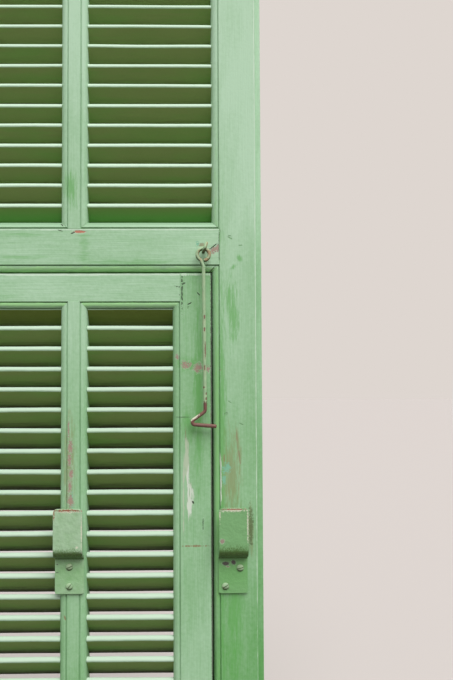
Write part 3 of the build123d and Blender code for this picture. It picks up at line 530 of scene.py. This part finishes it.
def old_oil_paint(name, grain, marks, weather, paint):
    """Old oil paint brushed on pine: a chalky film with bristle marks along the grain, deeper
    green where it faces down as unbleached paint and painted shade, darker where it faces up from
    dust and painted shade, with soil and painted shade in its quirks, cracked and chipped to
    primer and grey wood."""
    material, tree = new_material(name)
    place = node(tree, "TexCoord", out="Object")
    facing = node(tree, "TexCoord", out="Normal")
    along, strokes, fresh = BRUSHED[grain]
    streak, blotch, height = brushed_film(tree, place, along, paint)
    # Patches that faded evenly are a little longer along the grain
    patchy = tuple(0.3 if part < 1 else 1.0 for part in along)
    faded = node(tree, "VectorMath", {0: place, 1: patchy}, operation="MULTIPLY")
    patch = node(tree, "TexNoise", {
        "Vector": faded, "Scale": 1 / paint.fade_patch, "Detail": 4, "Roughness": 0.55})

    # The paint is paler towards the top, where the weather reaches it
    low_chalk, high_chalk, dirt_and_shade = weather
    low_z, high_z = FRAME_WEATHER_Z
    up = node(tree, "SeparateXYZ", {0: place}, out="Z")
    chalk = node(tree, "MapRange", {0: up, 1: low_z, 2: high_z, 3: low_chalk, 4: high_chalk})
    for texture, share in ((patch, 1.0), (streak, strokes), (blotch, 0.45)):
        moved = node(tree, "Math", {0: texture, 1: -0.5}, operation="ADD")
        chalk = node(tree, "Math", {0: moved, 1: share, 2: chalk}, operation="MULTIPLY_ADD")
    base = node(tree, "Mix", {0: chalk, 6: paint.fresh, 7: paint.chalked}, out=2,
                data_type="RGBA", clamp_factor=True)
    tilt = node(tree, "SeparateXYZ", {0: facing}, out="Z")
    # Painted shade and unbleached green where the paint faces down
    base = tone_over(tree, base, paint.sheltered_and_shaded, tilt, -0.72, -0.97, 0.7)
    # Painted shade and dust where the paint faces up
    base = tone_over(tree, base, paint.dust_and_shade_facing_up, tilt, 0.2, 0.6, 0.9)
    # Soil and painted shade in the quirks, joints and corners, found by ambient occlusion
    base = dirt_and_painted_shade(tree, base, paint.quirk_soil_and_shade, paint.crack, WOOD_QUIRK, dirt_and_shade)

    # Chips tear in all directions, and rubs follow the grain
    torn = node(tree, "TexNoise", {
        "Vector": place, "Scale": 1 / CHIP_EDGE, "Detail": 3, "Roughness": 0.65})
    torn = node(tree, "Math", {0: torn, 1: -0.5}, operation="ADD")
    drawn = node(tree, "VectorMath", {0: place, 1: tuple(max(part, 0.12) for part in along)},
                 operation="MULTIPLY")
    streaky = node(tree, "TexNoise", {
        "Vector": drawn, "Scale": 1 / RUB_STREAK, "Detail": 4, "Roughness": 0.7})
    streaky = node(tree, "Math", {0: streaky, 1: -0.5}, operation="ADD")
    looks = {
        # Arrises get pale paint that is also a painted highlight
        "arris": (paint.arris, 0.0, 0.8, "soft"),
        "fresh": (linear("#5fa950"), 0.0, fresh, "soft"),
        "moss": (linear("#8ccb7c"), 0.0, 0.7, "soft"),
        # Painted light on the lower beads, which the lamps leave in shade
        "lit_bead": (linear("#b4eea2"), 0.0, 0.85, "soft"),
        "rub": (linear("#8e9a6b"), 0.1, 0.8, "soft"),
        "peel": (paint.peel, 0.15, 0.95, "rubbed"),
        "cream": (linear("#dbe5d4"), 0.1, 0.9, "rubbed"),
        "blue": (paint.blue, 0.1, 0.9, "flaked"),
        "bare": (paint.bare, 0.15, 0.8, "rubbed"),
        "dent": (paint.dent, 0.9, 0.8, "torn"),
        "wood": (paint.wood, 0.3, 0.9, "flaked", linear("#c3d6bf")),
        "primer": (paint.primer, 0.35, 1.0, "torn", linear("#d3e3cf")),
        "rust": (linear("#8f6a4d"), 0.05, 0.8, "rubbed"),
        "crack": (paint.crack, 0.7, 0.95, "torn"),
        "joint": (paint.crack, 0.4, 0.8, "flaked"),
        "speck": (linear("#5a6a41"), 0.2, 0.75, "flaked"),
    }
    base, height = wear_layers(tree, place, base, height, marks, (FACE_Y, WOOD_MARK_REACH),
                               looks, (torn, streaky))
    rough = node(tree, "MapRange", {0: blotch, 1: 0.3, 2: 0.7, 3: 0.52, 4: 0.72})
    finish_surface(tree, base, height, rough, {"IOR": 1.5})
    return material


def slat_paint(name, paint, rail_light_and_shade, clear_z, rail_z):
    """The same oil paint on the slats: bleached on the noses, olive underneath, partly as painted
    shade, with painted shade darkening towards the back, and painted light on the slat next to a
    rail: green bounce light over the lock rail, shade under the flap's top rail."""
    material, tree = new_material(name)
    place = node(tree, "TexCoord", out="Object")
    facing = node(tree, "TexCoord", out="Normal")
    streak, blotch, height = brushed_film(tree, place, (0.03, 1.0, 1.0), paint)
    up = node(tree, "SeparateXYZ", {0: place}, out="Z")
    back = node(tree, "SeparateXYZ", {0: place}, out="Y")
    tilt = node(tree, "SeparateXYZ", {0: facing}, out="Z")

    # Tops and noses
    low_z, high_z = NOSE_WEATHER_Z
    weathered = node(tree, "MapRange", {0: up, 1: low_z, 2: high_z})
    nose = node(tree, "Mix", {0: weathered, 6: paint.soiled, 7: paint.bleached}, out=2,
                data_type="RGBA")
    level = node(tree, "Math", {0: streak, 1: 0.6, 2: 0.1}, operation="MULTIPLY_ADD")
    level = node(tree, "Math", {0: blotch, 1: 0.6, 2: level}, operation="MULTIPLY_ADD")
    top = node(tree, "Mix", {0: level, 6: paint.fresh, 7: nose}, out=2, data_type="RGBA")
    base = tone_over(tree, top, nose, tilt, -0.3, 0.35, 0.8)

    # Undersides, soiled in long clouds, in a tone that is partly painted shade
    spread = node(tree, "VectorMath", {
        0: place, 1: (1 / SOILED_LENGTH, 1.0, 1 / SOILED_HEIGHT)}, operation="MULTIPLY")
    cloudy = node(tree, "TexNoise", {
        "Vector": spread, "Scale": 1.0, "Detail": 4, "Roughness": 0.6})
    cloudy = node(tree, "MapRange", {0: cloudy, 1: 0.35, 2: 0.65})
    cloudy = node(tree, "Math", {0: streak, 1: 0.9, 2: cloudy}, operation="MULTIPLY_ADD")
    cloudy = node(tree, "MapRange", {0: cloudy, 1: 0.3, 2: 1.1})
    under = node(tree, "Mix", {0: cloudy, 6: paint.sheltered_and_shaded, 7: paint.soiled_under}, out=2,
                 data_type="RGBA")
    # Painted light near a rail, in the tone given: green bounce light over the lock rail, shade
    # under the flap's top rail
    under = tone_over(tree, under, rail_light_and_shade, up, clear_z, rail_z, 0.9)
    # Painted shade that darkens the undersides towards the back of the slats
    uneven = node(tree, "Math", {0: streak, 1: DARK_SHIFT, 2: back}, operation="MULTIPLY_ADD")
    start, full = (FACE_Y + depth for depth in UNDERSIDE_DARK)
    under = tone_over(tree, under, paint.deep_shade, uneven, start, full)
    base = tone_over(tree, base, under, tilt, -0.3, -0.66)

    rough = node(tree, "MapRange", {0: blotch, 1: 0.3, 2: 0.7, 3: 0.62, 4: 0.82})
    finish_surface(tree, base, height, rough, {"IOR": 1.5, "Specular IOR Level": 0.3})
    return material


def painted_iron(name, tones, marks, iron, face_y, bare_below=None):
    """Oil paint on wrought iron: a thicker, smoother film that rust lifts along the edges,
    with painted shade where it faces down and soil and painted shade in its corners."""
    material, tree = new_material(name)
    place = node(tree, "TexCoord", out="Object")
    facing = node(tree, "TexCoord", out="Normal")
    cloud = node(tree, "TexNoise", {
        "Vector": place, "Scale": 1 / IRON_CLOUD, "Detail": 4, "Roughness": 0.6})
    fine = node(tree, "TexNoise", {
        "Vector": place, "Scale": 1 / iron.pit, "Detail": 4, "Roughness": 0.65})
    share = node(tree, "MapRange", {0: cloud, 1: 0.3, 2: 0.7})
    base = node(tree, "Mix", {0: share, 6: tones[0], 7: tones[1]}, out=2, data_type="RGBA")
    tilt = node(tree, "SeparateXYZ", {0: facing}, out="Z")
    # Painted shade where the iron faces down, under the bends
    base = tone_over(tree, base, iron.sheltered_and_shaded, tilt, -0.02, -0.5)
    # Soil and painted shade in the iron's corners, found by ambient occlusion
    base = dirt_and_painted_shade(tree, base, linear("#5c6f42"), linear("#3b3a26"), IRON_QUIRK, 0.8)
    height = node(tree, "Math", {0: fine, 1: 0.22 * MM}, operation="MULTIPLY")
    height = node(tree, "Math", {0: cloud, 1: 1.2 * MM, 2: height}, operation="MULTIPLY_ADD")
    torn = node(tree, "Math", {0: fine, 1: -0.5}, operation="ADD")
    if bare_below is not None:
        up = node(tree, "SeparateXYZ", {0: place}, out="Z")
        edge = node(tree, "Math", {0: torn, 1: 22 * MM, 2: up}, operation="MULTIPLY_ADD")
        rusted = node(tree, "Mix", {0: share, 6: iron.brown, 7: iron.purple}, out=2,
                      data_type="RGBA")
        base = tone_over(tree, base, rusted, edge, bare_below + MM, bare_below - MM)
    looks = {
        # Painted shade under the brackets' bends
        "bend_shade": (linear("#3c5514"), 0.0, 0.95, "soft"),
        "moss": (linear("#70bd5e"), 0.0, 0.35, "soft"),
        "tan": (iron.tan, 0.1, 0.8, "soft"),
        "cream": (iron.cream, 0.1, 0.9, "flaked"),
        "wood": (linear("#9b7b78"), 0.1, 0.8, "torn", linear("#b9cdb2")),
        "rust": (iron.rust, 0.15, 0.9, "flaked"),
        "spot": (iron.purple, 0.15, 0.9, "torn"),
        "crack": (linear("#4a3440"), 0.3, 0.9, "torn", linear("#a9c7a4")),
    }
    base, height = wear_layers(tree, place, base, height, marks, (face_y, IRON_MARK_REACH),
                               looks, (torn, torn))
    rough = node(tree, "MapRange", {0: fine, 1: 0.3, 2: 0.7, 3: 0.42, 4: 0.62})
    finish_surface(tree, base, height, rough, {"IOR": 1.5})
    return material


def oiled_iron(name, iron):
    """Forged wrought iron, oiled and rusted brown in its pores: dark, rough and half metallic."""
    material, tree = new_material(name)
    place = node(tree, "TexCoord", out="Object")
    fine = node(tree, "TexNoise", {
        "Vector": place, "Scale": 1 / iron.pit, "Detail": 5, "Roughness": 0.65})
    share = node(tree, "MapRange", {0: fine, 1: 0.45, 2: 0.65, 4: 0.7})
    base = node(tree, "Mix", {0: share, 6: iron.black, 7: iron.brown}, out=2, data_type="RGBA")
    rough = node(tree, "MapRange", {0: fine, 1: 0.35, 2: 0.65, 3: 0.42, 4: 0.75})
    height = node(tree, "Math", {0: fine, 1: 0.2 * MM}, operation="MULTIPLY")
    finish_surface(tree, base, height, rough, {"Metallic": 0.7})
    return material


def dress_node(name, material, edge, film=0.0):
    """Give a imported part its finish, ease its sharp edges and lay the old paint on it."""
    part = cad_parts[name]
    part.data.materials.clear()
    part.data.materials.append(material)
    weld = part.modifiers.new("one_skin", "WELD")
    weld.merge_threshold = 0.01 * MM
    flat = part.modifiers.new("flat_faces", "DECIMATE")
    flat.decimate_type = "DISSOLVE"
    flat.angle_limit = radians(0.5)
    ease = part.modifiers.new("eased_edges", "BEVEL")
    ease.width = edge
    ease.segments = 3
    ease.limit_method = "ANGLE"
    ease.angle_limit = radians(32)
    if film:
        coats = part.modifiers.new("coats_of_paint", "DISPLACE")
        coats.mid_level = 0.0
        coats.strength = film
    even = part.modifiers.new("even_shading", "WEIGHTED_NORMAL")
    even.keep_sharp = False


def make_piece(name, vertices, faces, material, body, replaced, sharp=40):
    """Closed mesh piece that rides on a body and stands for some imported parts."""
    mesh = bpy.data.meshes.new(name)
    mesh.from_pydata(vertices, [], faces)
    mesh.validate()
    mesh.materials.append(material)
    mesh.polygons.foreach_set("use_smooth", [True] * len(mesh.polygons))
    mesh.set_sharp_from_angle(angle=radians(sharp))
    piece = bpy.data.objects.new(name, mesh)
    bpy.context.scene.collection.objects.link(piece)
    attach(piece, body)
    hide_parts(*replaced)
    # Turn all faces outwards
    skin = bmesh.new()
    skin.from_mesh(mesh)
    bmesh.ops.recalc_face_normals(skin, faces=skin.faces)
    skin.to_mesh(mesh)
    skin.free()


def tube_faces(first, rings, sides):
    """Faces of a closed tube of points: quads between its rings and a cap at each end."""
    faces = []
    last = first + (rings - 1) * sides
    for start in range(first, last, sides):
        for side in range(sides):
            a, b = start + side, start + (side + 1) % sides
            faces.append((a, b, b + sides, a + sides))
    faces.append(tuple(range(first, first + sides))[::-1])
    faces.append(tuple(range(last, last + sides)))
    return faces


def arc_points(centre, radius, start, end, steps):
    """Points of an arc in the plane, ends included; angles in degrees."""
    points = []
    for step in range(steps + 1):
        angle = radians(start + (end - start) * step / steps)
        points.append((centre[0] + radius * cos(angle), centre[1] + radius * sin(angle)))
    return points


def slat_section(slats):
    """A slat's section: along the slope from the nose's centre, and across it."""
    half = slats.thickness / 2
    nose_round = slats.nose_round
    nose = nose_round - half
    tail = slats.reach - TAIL_ROUND
    points = arc_points((tail, half - TAIL_ROUND), TAIL_ROUND, 0, 90, 2)
    points += arc_points((nose, -nose), nose_round, 90, 180, 6)
    points += arc_points((nose, nose), nose_round, 180, 270, 6)
    points += arc_points((tail, TAIL_ROUND - half), TAIL_ROUND, 270, 360, 2)
    return points


def cut_above(points, limit):
    """Part of a convex outline of (y, z) points that lies under a height."""
    kept = []
    for here, after in zip(points, points[1:] + points[:1]):
        if here[1] <= limit:
            kept.append(here)
        if (here[1] <= limit) != (after[1] <= limit):
            share = (limit - here[1]) / (after[1] - here[1])
            kept.append((here[0] + share * (after[0] - here[0]), limit))
    return kept


def slat_column(name, replaced, body, z0, z1, slats, material):
    """A column of slats between its rails, each planed by hand and a little uneven."""
    low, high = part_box(replaced)
    rows = round((z1 - z0 - slats.first_rise) / slats.pitch) + 1
    nose_y = FACE_Y + slats.setback + slats.thickness / 2
    section = slat_section(slats)
    vertices, faces = [], []
    for row in range(rows):
        nose_z = z0 + slats.first_rise + row * slats.pitch
        outline = []
        for u, v in section:
            y = nose_y + u * cos(slats.slope) + v * sin(slats.slope)
            z = nose_z - u * sin(slats.slope) + v * cos(slats.slope)
            outline.append((y, z))
        # The end slats are planed off flush to the rails
        if row == 0:
            outline = [(y, -z) for y, z in cut_above([(y, -z) for y, z in outline], -z0)]
        if row == rows - 1:
            outline = cut_above(outline, z1)
        front = min(y for y, _ in outline)
        faces += tube_faces(len(vertices), SLAT_STEPS + 1, len(outline))
        for step in range(SLAT_STEPS + 1):
            # Each row and each column lies at a place of its own in the noise
            x = low.x + (high.x - low.x) * step / SLAT_STEPS
            drift = noise.noise(Vector((x * DRIFT_WAVES, row * 3.7, z0 * 5))) * slats.wander
            twist = noise.noise(Vector((x * TWIST_WAVES, row * 2.3, 40 + z0))) * slats.wander
            for y, z in outline:
                near = max(0.0, 1 - (y - front) / NOSE_DEPTH)
                spot = Vector((x * RIPPLE_WAVES, y * CROSS_WAVES, z * CROSS_WAVES))
                ripple = noise.noise(spot) * RIPPLE
                lift = 0 if row in (0, rows - 1) else drift + twist * near
                vertices.append((x, y + ripple * near, z + lift + ripple * near))
    make_piece(name, vertices, faces, material, body, (replaced,))


def bent_path(corners, radii, steps=8):
    """Points of a path with rounded corners: one radius for each inner corner."""
    points = [corners[0]]
    for before, corner, after, radius in zip(corners, corners[1:], corners[2:], radii):
        back = (before - corner).normalized()
        ahead = (after - corner).normalized()
        half = back.angle(ahead) / 2
        reach = radius / tan(half)
        centre = corner + (back + ahead).normalized() * radius / sin(half)
        start = corner + back * reach - centre
        end = corner + ahead * reach - centre
        for step in range(steps + 1):
            points.append(centre + start.lerp(end, step / steps).normalized() * radius)
    points.append(corners[-1])
    return points


def evened(points, gap):
    """The same path with points no further apart than a gap."""
    path = [points[0]]
    for here, after in zip(points, points[1:]):
        count = max(1, round((after - here).length / gap))
        for step in range(1, count + 1):
            path.append(here.lerp(after, step / count))
    return path


def domed_end(ring, outward):
    """Three rings that close a rod with a low dome, from its tip inwards."""
    point, side, across, radius = ring
    return [(point + outward * (0.6 * radius * sqrt(1 - share**2)), side, across, radius * share)
            for share in (0.3, 0.7, 0.92)]


def swept_rod(path, radii, unevenness, seed):
    """Vertices and faces of a hammered rod along a path, rounded at both ends."""
    tangents = []
    for index in range(len(path)):
        ahead = path[min(index + 1, len(path) - 1)]
        back = path[max(index - 1, 0)]
        tangents.append((ahead - back).normalized())
    side = tangents[0].orthogonal().normalized()
    rings = []
    for point, tangent, radius in zip(path, tangents, radii):
        side = (side - tangent * side.dot(tangent)).normalized()
        rings.append((point, side, tangent.cross(side), radius))
    rings = (domed_end(rings[0], -tangents[0]) + rings
             + domed_end(rings[-1], tangents[-1])[::-1])
    vertices = []
    for point, side, across, radius in rings:
        for step in range(ROD_SIDES):
            angle = 2 * pi * step / ROD_SIDES
            way = side * cos(angle) + across * sin(angle)
            spot = point + way * radius
            dent = noise.noise(spot * DENT_WAVES + Vector((seed, 0, 0))) * unevenness
            vertices.append(point + way * radius * (1 + dent))
    return vertices, tube_faces(0, len(rings), ROD_SIDES)


class SHUTTER_OT_frame(bpy.types.Operator):
    """Paint the leaf's and the flap's frame members and ease their edges"""

    bl_idname = "shutter.frame"
    bl_label = "Paint Frame"

    def execute(self, context):
        paint = context.scene.shutter_paint
        for names, grain, marks in (
            (UPRIGHTS, "upright", UPRIGHT_MARKS), (RAILS, "across", RAIL_MARKS),
        ):
            for name in names:
                own = marks_on(name, marks)
                weather = WEATHER.get(name, USUAL_WEATHER)
                material = old_oil_paint(f"oil_paint_on_{name}", grain, own, weather, paint)
                # Old coats stand thickest on the uprights, where they nearly close the gaps
                film = paint.film if grain == "upright" else 0.0
                dress_node(name, material, paint.edge_round, film)
        return {"FINISHED"}


class SHUTTER_OT_slats(bpy.types.Operator):
    """Make the louvre slats with rounded noses"""

    bl_idname = "shutter.slats"
    bl_label = "Make Slats"

    def execute(self, context):
        paint = context.scene.shutter_paint
        slats = context.scene.shutter_slats
        # The slats next to a rail take painted light from the first height to the second: green
        # bounce light over the lock rail, shade under the flap's top rail
        upper = slat_paint("oil_paint_on_upper_slats", paint, paint.rail_bounce_green,
                           LOCK_TOP + 32 * MM, LOCK_TOP + 6 * MM)
        lower = slat_paint("oil_paint_on_flap_slats", paint, paint.rail_shade_olive,
                           FLAP_HEAD - 40 * MM, FLAP_HEAD - 14 * MM)
        for side in ("left", "right"):
            slat_column(f"rounded_upper_slats_{side}", f"upper_slats_{side}", "leaf",
                        LOCK_TOP, TOP_RAIL_FOOT, slats, upper)
            slat_column(f"rounded_flap_slats_{side}", f"flap_slats_{side}", "flap",
                        FLAP_SILL, FLAP_HEAD, slats, lower)
        return {"FINISHED"}


class SHUTTER_OT_hinges(bpy.types.Operator):
    """Finish the strap hinges, butts, nails, pins and wall pintles"""

    bl_idname = "shutter.hinges"
    bl_label = "Finish Hinges"

    def execute(self, context):
        iron = context.scene.shutter_iron
        painted = painted_iron("oil_paint_on_hinge_iron", (iron.hinge, iron.bracket), {}, iron,
                               OUTER_Y)
        oiled = oiled_iron("oiled_wrought_iron", iron)
        for name in HINGE_IRON:
            dress_node(name, painted, 0.4 * MM)
        for name in BARE_IRON:
            dress_node(name, oiled, 0.5 * MM)
        return {"FINISHED"}


class SHUTTER_OT_brackets(bpy.types.Operator):
    """Finish the two bar brackets and their screws"""

    bl_idname = "shutter.brackets"
    bl_label = "Finish Brackets"

    def execute(self, context):
        iron = context.scene.shutter_iron
        for name, tones, marks, body in (
            ("stile_bracket", (iron.bracket, iron.bracket), STILE_BRACKET_MARKS, "leaf"),
            ("muntin_bracket", (iron.bracket_pale, iron.bracket_faded), MUNTIN_BRACKET_MARKS,
             "flap"),
        ):
            painted = painted_iron(f"oil_paint_on_{name}", tones, marks, iron, PLATE_Y)
            dress_node(name, painted, 0.9 * MM)
            heads = painted_iron(f"oil_paint_on_{name}_screws", (iron.hook, iron.bracket_pale),
                                 {}, iron, PLATE_Y)
            vertices, faces = [], []
            for x, z, turn in BRACKET_SCREWS[name]:
                domed_screw(vertices, faces, Vector((x * MM, PLATE_Y, z * MM)), radians(turn))
            make_piece(f"domed_{name}_screws", vertices, faces, heads, body,
                       (f"{name}_screws",), sharp=50)
        return {"FINISHED"}


def domed_screw(vertices, faces, seat, turn):
    """Raised round head with its slot, and the shank, added to a mesh's vertices and faces."""
    across = Vector((cos(turn), 0, sin(turn)))
    aside = Vector((-sin(turn), 0, cos(turn)))
    # Lanes along the slot: how far aside each lies, and how far it is sunk
    side = [0.14 + 0.86 * step / 7 for step in range(7)] + [0.995]
    lanes = [(-SCREW_RADIUS * share, 0) for share in reversed(side)]
    lanes += [(-SLOT_HALF_WIDTH, 0), (-SLOT_HALF_WIDTH, SLOT_DEPTH),
              (SLOT_HALF_WIDTH, SLOT_DEPTH), (SLOT_HALF_WIDTH, 0)]
    lanes += [(SCREW_RADIUS * share, 0) for share in side]
    steps = 14
    first = len(vertices)
    for offset, sunk in lanes:
        chord = sqrt(SCREW_RADIUS**2 - offset**2)
        for step in range(steps + 1):
            along = chord * sin(pi * (step / steps - 0.5))
            out = min(1.0, (along**2 + offset**2) / SCREW_RADIUS**2)
            rise = SCREW_RIM + (SCREW_HEIGHT - SCREW_RIM) * sqrt(1 - 0.97 * out)
            rise = max(rise - sunk, SLOT_FLOOR)
            vertices.append(seat + across * along + aside * offset + Vector((0, -rise, 0)))
    wide = steps + 1
    for lane in range(len(lanes) - 1):
        for step in range(steps):
            a = first + lane * wide + step
            faces.append((a, a + 1, a + wide + 1, a + wide))
    # A wall from the head's rim down to the plate, and its foot
    last = first + (len(lanes) - 1) * wide
    rim = [first + step for step in range(wide)]
    rim += [first + lane * wide + steps for lane in range(1, len(lanes))]
    rim += [last + step for step in range(steps - 1, -1, -1)]
    rim += [first + lane * wide for lane in range(len(lanes) - 2, 0, -1)]
    foot = len(vertices)
    for index in rim:
        top = vertices[index]
        vertices.append(Vector((top.x, seat.y, top.z)))
    for place in range(len(rim)):
        after = (place + 1) % len(rim)
        faces.append((rim[place], rim[after], foot + after, foot + place))
    faces.append(tuple(range(foot, foot + len(rim))))
    faces += tube_faces(len(vertices), 2, SHANK_SIDES)
    for depth in (0.0, SHANK_LENGTH):
        for step in range(SHANK_SIDES):
            angle = 2 * pi * step / SHANK_SIDES
            spread = Vector((cos(angle), 0, sin(angle))) * SHANK_RADIUS
            vertices.append(seat + spread + Vector((0, depth, 0)))


def hook_path(hook):
    """The hook's centreline: round its ring, down the rod and back along the prong."""
    low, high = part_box("hook")
    centre = Vector((HOOK_X, (low.y + high.y) / 2, high.z - hook.rod - hook.ring))
    path = [centre + Vector((x, 0, z))
            for x, z in arc_points((0, 0), hook.ring, *HOOK_RING_TURN, 36)]
    corners = [path[-1]]
    corners += [centre + Vector((x * MM, 0, z * MM)) for x, z in HOOK_BENDS]
    return path + bent_path(corners, HOOK_BEND_RADII)[1:]


def eye_path(hook):
    """The screw eye's centreline: out of the rail, then round its ring."""
    ahead = Vector((0, 1, 0))
    upward = Vector((sin(EYE_TURN), 0, cos(EYE_TURN)))
    path = [EYE_CENTRE + ahead * (hook.eye + reach) for reach in (EYE_SHANK, EYE_NECK)]
    for y, z in arc_points((0, 0), hook.eye, *EYE_RING_TURN, 32):
        path.append(EYE_CENTRE + ahead * y + upward * z)
    return path


class SHUTTER_OT_hook(bpy.types.Operator):
    """Make the forged hook and the screw eye that it hangs in"""

    bl_idname = "shutter.hook"
    bl_label = "Make Hook"

    def execute(self, context):
        iron = context.scene.shutter_iron
        hook = context.scene.shutter_hook
        painted = painted_iron("worn_oil_paint_on_hook", (iron.hook, iron.bracket_pale),
                               HOOK_MARKS, iron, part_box("hook")[0].y, HOOK_RUSTED_BELOW)
        path = evened(hook_path(hook), 1.6 * MM)
        radii = [hook.rod] * (len(path) - PRONG_POINTS) + [1.08 * hook.rod] * PRONG_POINTS
        vertices, faces = swept_rod(path, radii, hook.forging, 3.0)
        make_piece("forged_hook", vertices, faces, painted, "hook",
                   ("hook",))
        path = evened(eye_path(hook), 1.2 * MM)
        vertices, faces = swept_rod(path, [hook.wire] * len(path), hook.forging, 8.0)
        make_piece("bent_screw_eye", vertices, faces, painted, "leaf",
                   ("screw_eye",))
        return {"FINISHED"}


def seen_directly(tree):
    """1 for the eye and for mirrors and glass, 0 for light that falls on the shutter."""
    seen = node(tree, "LightPath", out="Is Camera Ray")
    for other in ("Is Glossy Ray", "Is Transmission Ray"):
        seen = node(tree, "Math", {0: seen, 1: node(tree, "LightPath", out=other)},
                    operation="MAXIMUM")
    return seen


class SHUTTER_OT_studio(bpy.types.Operator):
    """Lay the pale floor and set the soft light and the camera"""

    bl_idname = "shutter.studio"
    bl_label = "Set Studio"

    def execute(self, context):
        studio = context.scene.shutter_studio
        scene = context.scene
        z = CAD_BOX[0].z - 0.5 * MM
        half = 14.0
        mesh = bpy.data.meshes.new("pale_floor")
        mesh.from_pydata([(-half, -half, z), (half, -half, z), (half, half, z),
                          (-half, half, z)], [], [(0, 1, 2, 3)])
        floor = bpy.data.objects.new("pale_floor", mesh)
        scene.collection.objects.link(floor)

        # The eye sees a pale floor, while the shutter is lit as by a darker one
        material, tree = new_material("matt_floor_paint")
        base = node(tree, "Mix", {
            0: seen_directly(tree), 6: studio.floor_bounce, 7: studio.floor}, out=2,
            data_type="RGBA")
        node(tree, "OutputMaterial", {"Surface": node(tree, "BsdfDiffuse", {"Color": base})})
        mesh.materials.append(material)

        world = bpy.data.worlds.new("soft_dome")
        world.use_nodes = True
        tree = world.node_tree
        tree.nodes.clear()
        way = node(tree, "TexCoord", out="Generated")
        up = node(tree, "SeparateXYZ", {0: way}, out="Z")
        level = node(tree, "MapRange", {
            0: up, 1: -0.05, 2: 0.20, 3: studio.ground, 4: studio.sky},
            interpolation_type="SMOOTHSTEP")
        light = node(tree, "Background", {"Color": (1, 1, 1), "Strength": level})
        shown = node(tree, "Background", {"Color": studio.backdrop})
        mixed = node(tree, "MixShader", {0: seen_directly(tree), 1: light, 2: shown})
        node(tree, "OutputWorld", {"Surface": mixed})
        scene.world = world

        # Broad, even lamps far off, as wide as a bright patch of cloud
        for name, power, way in (
            ("key_light", studio.key, Vector((0.20, -0.52, 0.82))),
            ("rear_light", studio.rear, Vector((-0.45, 0.70, 0.55))),
        ):
            lamp = bpy.data.lights.new(name, "SUN")
            lamp.energy = power
            lamp.angle = radians(50)
            lit = bpy.data.objects.new(name, lamp)
            lit.location = way * 3
            lit.rotation_euler = (-way).to_track_quat("-Z", "Y").to_euler()
            scene.collection.objects.link(lit)

        view = bpy.data.cameras.new("front_camera")
        view.lens = studio.lens
        view.shift_x = studio.shift
        view.clip_start = 0.05
        camera = bpy.data.objects.new("front_camera", view)
        camera.location = studio.camera_place
        camera.rotation_euler = studio.camera_turn
        scene.collection.objects.link(camera)
        scene.camera = camera
        scene.view_settings.view_transform = "Standard"
        return {"FINISHED"}


class SHUTTER_PT_panel(bpy.types.Panel):
    """Buttons for each group of pieces, in the order in which they are made"""

    bl_idname = "SHUTTER_PT_panel"
    bl_label = "Louvred Shutter"
    bl_space_type = "VIEW_3D"
    bl_region_type = "UI"
    bl_category = "Shutter"

    def draw(self, context):
        for operator in OPERATORS:
            self.layout.operator(operator.bl_idname)


GROUPS = {
    "shutter_paint": ShutterPaint,
    "shutter_iron": ShutterIron,
    "shutter_slats": ShutterSlats,
    "shutter_hook": ShutterHook,
    "shutter_studio": ShutterStudio,
}
OPERATORS = (
    SHUTTER_OT_frame, SHUTTER_OT_slats, SHUTTER_OT_hinges, SHUTTER_OT_brackets,
    SHUTTER_OT_hook, SHUTTER_OT_studio,
)


def register():
    """Add the sizes and colours, the operators and the panel."""
    for name, group in GROUPS.items():
        bpy.utils.register_class(group)
        setattr(bpy.types.Scene, name, bpy.props.PointerProperty(type=group))
    for operator in OPERATORS:
        bpy.utils.register_class(operator)
    bpy.utils.register_class(SHUTTER_PT_panel)


def unregister():
    """Take them away again."""
    bpy.utils.unregister_class(SHUTTER_PT_panel)
    for operator in reversed(OPERATORS):
        bpy.utils.unregister_class(operator)
    for name, group in reversed(GROUPS.items()):
        delattr(bpy.types.Scene, name)
        bpy.utils.unregister_class(group)


def main():
    """Register the classes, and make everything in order."""
    register()
    bpy.ops.shutter.frame()
    bpy.ops.shutter.slats()
    bpy.ops.shutter.hinges()
    bpy.ops.shutter.brackets()
    bpy.ops.shutter.hook()
    bpy.ops.shutter.studio()


if __name__ == "__main__":
    main()
